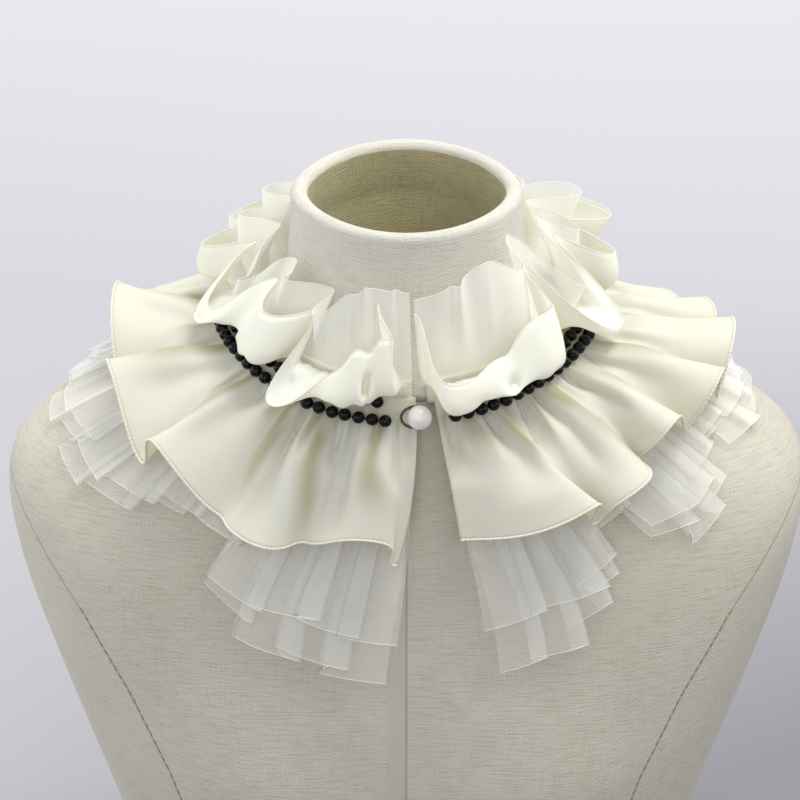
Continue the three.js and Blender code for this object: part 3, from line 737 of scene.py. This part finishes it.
def net_edge(f):
    chiffon = chiffon_edge(f)
    reach = np.maximum(NET_LEAST_REACH, np.abs(f.own("out") - f.dip("dipOut")))
    share = np.clip((f.own("netOut") - f.dip("netDipOut")) / reach, 0, 1)
    lean = mix(f.dip("netDipLean"), f.own("lean") * share, f.crest)
    return dict(
        angle=f.root + f.swing * share + lean + NET_INSET * f.width * f.side,
        out=mix(f.dip("netDipOut"), f.own("netOut"), f.crest),
        up=mix(f.dip("netDipUp"), f.own("netUp"), f.crest),
        belly=chiffon["belly"] * share * NET_BELLY,
        sag=chiffon["sag"] * share * NET_BELLY,
        stand=mix(STAND["dip"], STAND["net"], f.crest),
    )


def frill_grid(f, edge, slant, height, rows):
    root = over(f.root, slant, height)
    tip = over(edge["angle"], slant, height)
    outward = outward_at(edge["angle"])
    tip = tip + outward * edge["out"][:, None]
    tip[:, 2] += edge["up"]
    pull = (root + tip) / 2 + outward * edge["belly"][:, None]
    pull[:, 2] -= edge["sag"]
    rise = root + form_normal(f.root, row_at(f.root, slant)) * edge["stand"][:, None]
    t = np.linspace(0, 1, rows)[None, :, None]
    a, b, c, d = (p[:, None, :] for p in (root, rise, pull, tip))
    return a * (1 - t) ** 3 + 3 * b * t * (1 - t) ** 2 + 3 * c * t ** 2 * (1 - t) + d * t ** 3


def fall_grid(f, root_height, rest, rows):
    reach = mix(f.dip("dipReach"), f.own("reach"), f.crest)
    lean = f.swing + mix(f.dip("dipLean"), f.own("lean"), f.crest)
    part = np.linspace(0, 1, rows)[None, :]
    slant = FLOUNCE_ROOT + (reach[:, None] - FLOUNCE_ROOT) * part
    spread = np.maximum(0, (slant - SPREAD_START) / (reach[:, None] - SPREAD_START))
    settled = mix(root_height, rest, smooth(spread / SETTLED_AT))
    lift = (f.own("lift") * f.crest)[:, None] * spread ** LIFT_POWER
    angle = f.root[:, None] + lean[:, None] * spread
    return angle, slant, settled + lift


def crease(grid, u, v, rows):
    """Moves a cloth along its normal by soft ridges (depth above 0) and troughs.
    Each row: angle at its start, lean in degrees to its end, part of the way down where it starts and ends,
    width in degrees, and depth in millimetres."""
    total = np.zeros(u.shape)
    for angle, lean, first, last, width, depth in rows:
        along = (v - first) / (last - first)
        centre = angle + lean * np.clip(along, 0, 1)
        across = (u - centre) / (width * (0.6 + 0.8 * np.clip(along, 0, 1)))
        body = smooth((along + 0.15) / 0.3) * smooth((1.15 - along) / 0.5)
        total += depth * body * np.exp(-across ** 2)
    return grid + grid_normals(grid) * total[..., None]


GATHERED = (8, 361)


def gathers(count, first, last, depth, seed):
    """Uneven small creases that run down from the sewn edge."""
    draw = np.random.default_rng(seed)
    pitch = (GATHERED[1] - GATHERED[0]) / count
    angles = np.linspace(*GATHERED, count) + draw.uniform(-0.35, 0.35, count) * pitch
    rows = []
    for i, angle in enumerate(angles):
        lean = draw.uniform(-1.5, 1.5)
        end = first + (last - first) * draw.uniform(0.45, 1.0)
        width = pitch * draw.uniform(0.28, 0.5)
        up_or_down = 1 if i % 2 else -1
        rows.append((angle, lean, first, end, width, up_or_down * depth * draw.uniform(0.5, 1.1)))
    return rows


BAND_WALL = 0.96


def make_band():
    angles = np.linspace(BAND["start"], BAND["end"], 220)
    slants = np.linspace(BAND["top"], BAND["bottom"], 9)
    grid = over(angles[:, None], slants[None, :], BAND["gap"] + BAND["wall"] / 2)
    band = cloth_piece("collar_band", grid)
    shell(band, BAND_WALL)
    finish_piece(band, HEM, "chiffon", "neckband")
    return band


def ripple(u, v, seed, waves, least, most, power=1.3):
    """Soft uneven waves, least to most degrees long, that grow towards the free edge."""
    draw = np.random.default_rng(seed)
    total = np.zeros(u.shape)
    for _ in range(waves):
        length = draw.uniform(least, most)
        slide = draw.uniform(0, 2 * np.pi) + draw.uniform(-2.5, 2.5) * v
        total += np.sin(2 * np.pi * u / length + slide)
    return total / math.sqrt(waves) * v ** power


# Rows as crease() takes them.
FRILL_CREASES = [
    (348.5, 0, 0.72, 0.9, 1.5, -5.0), (335, 3, 0.3, 0.9, 2.2, 1.6), (327, -2, 0.5, 1.0, 2.6, 1.6),
    (306, -2, 0.5, 1.0, 2.2, -1.6), (298, 2, 0.5, 1.0, 2.4, 1.6), (278, 2, 0.5, 1.0, 2.4, -1.8),
    (31, 0, 0.7, 0.9, 1.7, -4.6), (15, 2, 0.5, 1.0, 2.4, 1.6), (23, -2, 0.5, 0.9, 2.0, -1.6),
    (40, 2, 0.5, 1.0, 2.2, 1.6), (49, 0, 0.5, 0.9, 2.2, -1.6), (68, 2, 0.5, 1.0, 2.8, 1.8),
    (77, 0, 0.4, 0.9, 2.2, -1.8), (94, 0, 0.4, 1.0, 2.4, 1.8), (117, 2, 0.4, 0.9, 2.2, -1.8),
    (127, 0, 0.4, 1.0, 2.4, 1.8), (144, -2, 0.4, 0.9, 2.2, -1.8), (168, 2, 0.4, 1.0, 2.4, 1.8),
    (190, 0, 0.4, 0.9, 2.2, -1.8), (214, -2, 0.4, 1.0, 2.4, 1.8), (235, 0, 0.4, 0.9, 2.2, -1.8),
    (254, 2, 0.4, 1.0, 2.4, 1.8),
]


def soften(grid, angles, centre, wide, reach):
    """Evens out a cloth along its length near the angle `centre`, over `reach` columns each way."""
    steps = np.arange(-reach, reach + 1)
    weights = np.exp(-(steps / (0.5 * reach)) ** 2)
    padded = np.concatenate([grid[:1].repeat(reach, 0), grid, grid[-1:].repeat(reach, 0)])
    even = sum(w * padded[reach + k:reach + k + len(grid)] for k, w in zip(steps, weights)) / weights.sum()
    near = np.exp(-((angles - centre) / wide) ** 4)[:, None, None]
    return mix(grid, even, near)


CHIFFON_WALL = 0.35
FRILL_EDGE_RADIUS = 0.32
FRILL_RIPPLE = 0.8
SOFT_PLACE = dict(centre=342, wide=4, reach=12)


def make_chiffon_frill():
    f = Folds(FRILL, FRILL_END, 44)
    grid = frill_grid(f, chiffon_edge(f), FRILL_ROOT, FIRST_LAYER + LAYER, 34)
    grid = soften(grid, f.root, **SOFT_PLACE)
    u, v = parts_of(grid, f.root)
    grid = crease(grid, u, v, gathers(110, 0.02, 0.75, 0.8, 11) + FRILL_CREASES)
    grid = grid + grid_normals(grid) * (ripple(u, v, 31, 7, 9, 22, 3) * FRILL_RIPPLE)[..., None]
    piece = cloth_piece("chiffon_frill_cloth", grid)
    shell(piece, CHIFFON_WALL)
    finish_piece(piece, FRILL_CHIFFON_LIT, "chiffon", "chiffon_frill")
    edge = tube_piece("chiffon_frill_edge", grid[:, -1], FRILL_EDGE_RADIUS)
    finish_piece(edge, FRILL_CHIFFON_LIT, "chiffon")
    return piece, edge


NET_EDGE_RADIUS = 0.16
NET_RIPPLE = 1.3


def make_net_frill():
    f = Folds(FRILL, FRILL_END, 36)
    grid = frill_grid(f, net_edge(f), NET_FRILL_ROOT, FIRST_LAYER, 26)
    u, v = parts_of(grid, f.root)
    grid = grid + grid_normals(grid) * (ripple(u, v, 47, 7, 7, 18) * NET_RIPPLE)[..., None]
    piece = cloth_piece("net_frill_cloth", grid)
    finish_piece(piece, NET_FRILL_CLOTH, "net", "net_frill")
    edge = tube_piece("net_frill_edge", grid[:, -1], NET_EDGE_RADIUS, 4)
    finish_piece(edge, NET_THREAD, "net")
    return piece, edge


FLOUNCE_CREASES = [
    (13, -2, 0.12, 0.6, 2.6, 2.6), (17.5, -3, 0.12, 0.5, 2.2, -2.4), (24, -4, 0.12, 0.75, 2.2, 3.0),
    (29, -4, 0.12, 0.6, 2.0, -2.6), (35, -4, 0.12, 0.55, 1.8, 3.0), (40, 0, 0.12, 0.9, 2.0, 3.2),
    (45.5, 0, 0.12, 0.7, 1.8, -2.4), (52, 2, 0.12, 0.8, 1.8, 3.0), (57.5, 2, 0.12, 0.7, 1.6, -2.2),
    (65, 1, 0.12, 0.9, 2.2, 2.4), (71, 1, 0.12, 0.7, 1.8, -2.2), (80, 2, 0.12, 0.7, 2.0, 2.4),
    (86, 1, 0.12, 0.9, 2.4, 2.2), (94, 2, 0.12, 0.6, 2.0, -2.0), (103, 0, 0.12, 0.8, 2.2, 2.2),
    (112, -2, 0.12, 0.9, 2.4, 2.2), (121, 1, 0.12, 0.6, 2.0, -2.0), (129, 0, 0.12, 0.9, 2.2, 2.4),
    (141, 2, 0.12, 0.8, 2.2, 2.2), (152, 0, 0.12, 0.6, 2.0, -2.0), (162, -2, 0.12, 0.9, 2.4, 2.4),
    (173, 1, 0.12, 0.7, 2.0, 2.0), (184, 0, 0.12, 0.9, 2.2, 2.4), (193, -2, 0.12, 0.6, 2.0, -2.0),
    (204, 1, 0.12, 0.9, 2.4, 2.2), (213, 0, 0.12, 0.7, 2.0, 2.2), (224, 2, 0.12, 0.6, 2.0, -2.0),
    (231, -1, 0.12, 0.9, 2.2, 2.4), (243, 1, 0.12, 0.8, 2.2, 2.2), (250, 0, 0.12, 0.6, 2.0, -2.0),
    (259, -3, 0.12, 0.95, 2.4, 2.4), (266, -3, 0.12, 0.8, 2.2, -2.2), (273, -3, 0.12, 0.95, 2.4, 2.6),
    (286, -3, 0.12, 0.95, 2.4, 2.8), (293, -3, 0.12, 0.85, 2.0, -2.4), (299, -2, 0.12, 0.95, 2.2, 2.8),
    (309, 0, 0.12, 0.8, 2.2, -2.2), (316, 2, 0.12, 0.95, 3.0, 2.8), (324, 6, 0.12, 0.85, 2.4, -2.6),
    (329.5, 6.5, 0.12, 1.0, 2.0, 3.4), (335, 8, 0.12, 0.9, 2.0, -2.6), (340, 5, 0.12, 0.55, 1.6, 2.0),
    (345.5, 3, 0.12, 1.0, 2.1, 3.4), (351.5, 2, 0.12, 0.75, 1.9, -2.6), (357, 1, 0.12, 0.6, 1.5, 2.2),
]
RIDGE_SHARE = 1.55  # the ridges stand prouder than the troughs are deep
TROUGH_SHARE = 0.7
FLOUNCE_EASE = 0.9  # lifts the troughs clear of the net below
TROUGH_SHADING = dict(level=0.12, full_depth=2.0, fade=0.45)  # the painted shade in the troughs, and how it fades towards the hem
HEM_STITCH = dict(pitch=2.2, radius=0.5, swell=0.26, step=0.45)


def make_flounce():
    f = Folds(FLOUNCE, FLOUNCE_END, 40)
    angle, slant, height = fall_grid(f, FIRST_LAYER + 2 * LAYER + FLOUNCE_EASE, FLOUNCE_REST, 40)
    plain = over(angle, slant, height)
    u, v = parts_of(plain, f.root)
    creases = gathers(120, 0.15, 0.6, 1.3, 5)
    for *place, depth in FLOUNCE_CREASES:
        creases.append((*place, (RIDGE_SHARE if depth > 0 else TROUGH_SHARE) * depth))
    grid = crease(plain, u, v, creases)
    raised = ((grid - plain) * grid_normals(plain)).sum(-1)
    piece = cloth_piece("chiffon_flounce_cloth", grid)
    # Painted shade: the deeper a point sits in a trough, the more its chiffon is coloured towards the darker,
    # yellower deep colour, less so towards the hem.
    painted_trough_shade = np.clip(TROUGH_SHADING["level"] - raised / TROUGH_SHADING["full_depth"], 0, 1) * (1 - TROUGH_SHADING["fade"] * v)
    mark(piece, "trough", painted_trough_shade)
    shell(piece, CHIFFON_WALL)
    finish_piece(piece, CHIFFON, "chiffon", "chiffon_flounce")
    edge = grid[:, -1]
    along = lengths_along(edge)
    steps = np.arange(0, along[-1], HEM_STITCH["step"])
    overlock = np.abs(np.sin(steps * math.pi / HEM_STITCH["pitch"]))
    radius = HEM_STITCH["radius"] + HEM_STITCH["swell"] * overlock
    hem = tube_piece("chiffon_flounce_hem", points_along(edge, along, steps), radius)
    finish_piece(hem, HEM, "chiffon")
    return piece, hem


PLEATS_END = 361.3
PLEAT_MIDDLE = 60  # the slant whose normals the pleats' ripples follow
PLEAT_RIPPLE = 0.5
PLEAT_BACK_STEPS = 6
PLEAT_TURN = 0.2  # how far a pleat's cut comes back along its underside
PLEAT_LIFT = dict(root=0.35, spread=0.75)  # how far a pleat's fold stands off its middle


class Pleats:
    """Knife pleats side by side: the cloth runs forward over each pleat, then back under it a little way.
    For each column: its pleat k, its angle at the root, its part of the pleat's width, and its level."""

    def __init__(self, rows, steps):
        last_pleat = len(rows["start"]) - 1
        starts = np.append(rows["start"], PLEATS_END)
        columns = []
        for k, under in enumerate(rows["under"]):
            before = rows["under"][k - 1] if k else 0
            first, last = starts[k] - before / 2, starts[k + 1] + (under / 2 if k < last_pleat else 0)
            for part in np.linspace(0, 1, steps, endpoint=False):
                columns.append((k, mix(first, last, part), part, mix(-1, 1, part)))
            if k < last_pleat:
                for part in np.linspace(0, 1, PLEAT_BACK_STEPS, endpoint=False):
                    columns.append((k, mix(last, last - under, part), 1 - PLEAT_TURN * part, 1 - 2 * part))
        columns.append((last_pleat, starts[-1], 1.0, 1.0))
        self.k, self.root, self.part, self.level = (np.array(values) for values in zip(*columns))
        self.rows = rows

    def own(self, name):
        return self.rows[name][self.k]


def make_net_flounce(name, f, root_height, rest, seed):
    """start: angle of each pleat. under: how far the next one starts below it. fan: degrees that the pleat
    swings to its hem. reach: slant of its hem. cut: how much lower its far corner is. lift: off its rest."""
    reach = f.own("reach") + f.own("cut") * f.part
    part = np.linspace(0, 1, 40)[None, :]
    slant = FLOUNCE_ROOT + (reach[:, None] - FLOUNCE_ROOT) * part
    spread = np.maximum(0, (slant - SPREAD_START) / (reach[:, None] - SPREAD_START))
    settled = mix(root_height, rest, smooth(spread / SETTLED_AT))
    angle = f.root[:, None] + f.own("fan")[:, None] * spread
    fold = f.level[:, None] * (PLEAT_LIFT["root"] + PLEAT_LIFT["spread"] * spread)
    bow = f.own("lift")[:, None] * np.sin(np.pi * f.part)[:, None] * spread
    grid = over(angle, slant, settled + fold + bow)
    u, v = parts_of(grid, f.root)
    wave = ripple(u, v, seed, 6, 5, 14) * PLEAT_RIPPLE
    grid = grid + form_normal(f.root, row_at(f.root, PLEAT_MIDDLE))[:, None, :] * wave[..., None]
    piece = cloth_piece(name + "_cloth", grid)
    finish_piece(piece, NET, "net", name)
    edge = tube_piece(name + "_edge", grid[:, -1], NET_EDGE_RADIUS, 4)
    finish_piece(edge, NET_THREAD, "net")
    return piece, edge


PLEAT_COLUMNS = "start under fan reach cut lift"
LONG_PLEATS = table(PLEAT_COLUMNS, [
    (9, 3, 1, 131, -3, 1), (14, 3, 2, 127, 2, 2), (19, 2.5, 2, 118, -4, 1), (24, 2, 0, 106, -3, 2),
    (29, 2, 0, 80, -2, 1), (37, 3, 2, 97, 8, 2), (44, 2.5, 1, 112, -4, 2), (51, 3, -1, 103, -4, 2),
    (58, 2, 0, 80, 2, 1), (67, 3, 0, 92, 8, 2), (78, 4, -2, 98, -4, 2), (90, 4, 2, 96, 3, 2),
    (103, 4, 0, 97, 3, 2), (116, 4, 0, 102, 2, 2), (130, 4, -2, 106, 3, 2), (144, 4, 2, 110, -3, 2),
    (158, 4, 0, 110, 4, 2), (172, 4, -2, 112, -4, 2), (188, 4, 2, 110, 3, 2), (204, 4, 0, 107, -4, 2),
    (220, 4, -2, 102, -3, 2), (236, 4, 2, 97, -4, 2), (250, 4, 0, 91, 3, 2), (262, 3, -2, 94, -4, 2),
    (272, 3, -2, 98, 4, 2), (283, 3, 0, 97, -4, 2), (293, 3, -2, 103, 3, 1), (303, 3, 1, 102, -6, 2),
    (312, 2, 0, 86, -4, 1), (322, 2, 0, 79, 2, 1), (334, 3, -1, 105, 10, 1), (341, 3, -1, 124, 2, 2),
    (348, 3, -2, 122, 4, 2), (355, 3, -3, 130, 1, 1),
])
SHORT_PLEATS = table(PLEAT_COLUMNS, [
    (9.5, 3, -1, 108, -3, 1), (17, 3, 2, 104, 2, 2), (24, 2, 0, 100, -6, 1), (30, 2, 0, 80, -3, 1),
    (38, 3, 2, 92, 6, 2), (46, 3, 0, 99, -4, 2), (54, 3, -1, 88, -4, 2), (62, 2, 0, 78, 2, 1),
    (71, 3, 2, 84, 4, 2), (84, 4, -2, 88, -4, 2), (98, 4, 2, 88, 3, 2), (112, 4, 0, 92, 3, 2),
    (127, 4, -2, 95, -3, 2), (143, 4, 2, 98, 3, 2), (158, 4, 0, 99, -4, 2), (174, 4, -2, 98, 3, 2),
    (190, 4, 2, 95, 2, 2), (206, 4, 0, 93, 2, 2), (221, 4, -2, 89, -4, 2), (236, 4, 2, 85, 3, 2),
    (250, 4, 0, 82, -3, 2), (262, 3, -2, 84, 3, 2), (273, 3, -2, 88, 4, 2), (285, 3, 0, 90, -4, 2),
    (296, 3, -2, 93, 4, 1), (306, 3, 1, 92, -6, 2), (315, 2, 0, 80, -2, 1), (325, 2, 0, 79, 2, 1),
    (334, 3, -1, 101, 6, 1), (342, 3, -1, 106, -3, 2), (350, 3, -2, 105, 4, 1), (356, 3, -2, 110, 1, 1),
])


# ---- beads, pearl and loop ----

BEADS = dict(radius=3.1, pitch=6.5, clearance=0.4, thread=0.45)
BEAD_HEIGHT = FIRST_LAYER + 2 * LAYER + CLOTH / 2 + BEADS["clearance"] + BEADS["radius"]
# Name, slant, first and last angle, and sag of each strand.
STRANDS = [
    ("bead_strand_lower", 4.4, 12, 356, 1.5),
    ("bead_strand_upper", -3.4, 15, 353, 0),
]
STRAND_SAG = dict(angle=332, wide=24)


def strand_path(slant, start, end, sag):
    angles = np.linspace(start, end, 1200)
    slack = sag * np.exp(-((angles - STRAND_SAG["angle"]) / STRAND_SAG["wide"]) ** 2)
    return over(angles, slant + slack, BEAD_HEIGHT)


def make_strand(name, slant, start, end, sag):
    path = strand_path(slant, start, end, sag)
    along = lengths_along(path)
    count = round(along[-1] / BEADS["pitch"])
    places = (np.arange(count) + 0.5) * along[-1] / count
    ball, ball_faces = ball_points(BEADS["radius"], 16, 10)
    draw = np.random.default_rng(int(start))
    points, faces = [], []
    for place in places:
        centre = points_along(path, along, place)
        size = draw.uniform(0.97, 1.03)
        offset = len(points) * len(ball)
        points.append(ball * size * np.array([1, 1, 0.96]) + centre + draw.uniform(-0.2, 0.2, 3))
        faces += [tuple(v + offset for v in face) for face in ball_faces]
    strand = mesh_object(name + "_beads", np.concatenate(points), faces)
    finish_piece(strand, BLACK, "black_bead", name)
    thread = tube_piece(name + "_thread", path[::8], BEADS["thread"])
    finish_piece(thread, THREAD, "thread")


PEARL_AT = dict(radius=5.9, angle=3.7, slant=3.2, height=6)
LOOP = dict(long=6.9, wide=5, shift=-1.6, thread=0.7)
FASTENING_BED = FIRST_LAYER + 2 * LAYER + CLOTH / 2 + 0.3


def make_fastening():
    centre = over(PEARL_AT["angle"], PEARL_AT["slant"], FASTENING_BED + PEARL_AT["height"])
    ball, faces = ball_points(PEARL_AT["radius"], 40, 26)
    pearl = mesh_object("pearl_button_ball", ball * np.array([1, 0.98, 0.99]) + centre, faces)
    finish_piece(pearl, PEARL, "pearl", "pearl_button")
    low = over(PEARL_AT["angle"], PEARL_AT["slant"], FASTENING_BED + LOOP["thread"])
    low[0] += LOOP["shift"]
    normal = form_normal(PEARL_AT["angle"], row_at(PEARL_AT["angle"], PEARL_AT["slant"]))
    side = unit(np.array([1.0, 0, 0]) - normal * normal[0])
    rise = np.cross(normal, side)
    turn = np.linspace(0, 2 * np.pi, 120, endpoint=False)
    ring = low + side * (LOOP["long"] * np.cos(turn))[:, None] + rise * (LOOP["wide"] * np.sin(turn))[:, None]
    twist = LOOP["thread"] * (0.86 + 0.14 * np.sin(turn * 22))
    loop = tube_piece("button_loop_thread", ring, twist, 8, closed=True)
    finish_piece(loop, THREAD, "thread", "button_loop")


# ---- stage, light and camera ----

def floor_material():
    """Pale, with painted shade: darker towards the viewer and the right."""
    n = Nodes("pale_floor_painted_shade")
    place = n.add("SeparateXYZ", {"Vector": n.add("TexCoord").outputs["Object"]})
    ahead = n.math("SUBTRACT", 1.0, place.outputs[1], clamp=True)
    corner = n.math("MULTIPLY", n.math("MULTIPLY", place.outputs[0], 1.4), ahead)
    near = n.math("SUBTRACT", corner, place.outputs[1])
    dark = n.spread(near, -2.4, 0.0)
    # Painted shade: from near white to grey towards the viewer and the right.
    colour = n.blend(dark, linear(254, 253, 255), linear(132, 130, 136))
    skin = n.add("BsdfPrincipled", {"Base Color": colour, "Roughness": 0.9, "Specular IOR Level": 0.1})
    return n.surface(skin.outputs[0])


def make_stage():
    size, below = 9000, -0.5
    points = np.array([(x * size, y * size, below) for x, y in ((-1, -1), (1, -1), (1, 1), (-1, 1))], float)
    floor = mesh_object("floor", points, [(0, 1, 2, 3)], smooth_faces=False)
    floor.data.materials.append(floor_material())


def make_light(name, place, aim, size, power, colour):
    data = bpy.data.lights.new(name, "AREA")
    data.shape = "SQUARE"
    data.size = size
    data.energy = power
    data.color = colour
    light = bpy.data.objects.new(name, data)
    bpy.context.scene.collection.objects.link(light)
    light.location = place
    light.rotation_euler = (Vector(aim) - Vector(place)).to_track_quat("-Z", "Y").to_euler()


def make_lights():
    world = bpy.data.worlds.new("studio")
    world.use_nodes = True
    background = world.node_tree.nodes["Background"]
    background.inputs[0].default_value = (0.93, 0.95, 1.0, 1)
    background.inputs[1].default_value = 0.8
    bpy.context.scene.world = world
    aim = (0, 0, 0.38)
    make_light("key", (0.55, 0.05, 2.0), aim, 0.8, 25, (1, 0.99, 0.97))
    make_light("left", (-1.7, 0.1, 1.0), aim, 1.2, 11, (0.98, 0.99, 1))
    make_light("right", (1.7, 0.1, 1.0), aim, 1.2, 9, (1, 0.99, 0.97))
    make_light("front", (-0.4, -2.2, 0.9), aim, 1.4, 8.5, (1, 1, 0.99))


FOCUS = Vector((0, 0, 0.4))
ELEVATION = math.radians(22.5)
DISTANCE = 1.5
LENS = 137.5
AIM_RIGHT = -0.0032
AIM_UP = -0.0437


def make_camera():
    data = bpy.data.cameras.new("camera")
    data.lens = LENS
    data.sensor_width = 36
    camera = bpy.data.objects.new("camera", data)
    bpy.context.scene.collection.objects.link(camera)
    back = Vector((0, -math.cos(ELEVATION), math.sin(ELEVATION)))
    up = Vector((0, math.sin(ELEVATION), math.cos(ELEVATION)))
    camera.location = FOCUS + back * DISTANCE
    aim = FOCUS + Vector((AIM_RIGHT, 0, 0)) + up * AIM_UP
    camera.rotation_euler = (aim - camera.location).to_track_quat("-Z", "Y").to_euler()
    bpy.context.scene.camera = camera


make_camera()
make_lights()
make_stage()
make_torso()
make_stitches()
make_neck()
band = make_band()
long_net, long_net_edge = make_net_flounce(
    "net_flounce_long", Pleats(LONG_PLEATS, 12), FIRST_LAYER, LONG_NET_REST, 21)
short_net, short_net_edge = make_net_flounce(
    "net_flounce_short", Pleats(SHORT_PLEATS, 14), FIRST_LAYER + LAYER, SHORT_NET_REST, 22)
flounce, flounce_hem = make_flounce()
net_frill, net_frill_edge = make_net_frill()
frill, frill_edge = make_chiffon_frill()
for strand in STRANDS:
    make_strand(*strand)
make_fastening()

bpy.context.scene.view_settings.view_transform = "Standard"
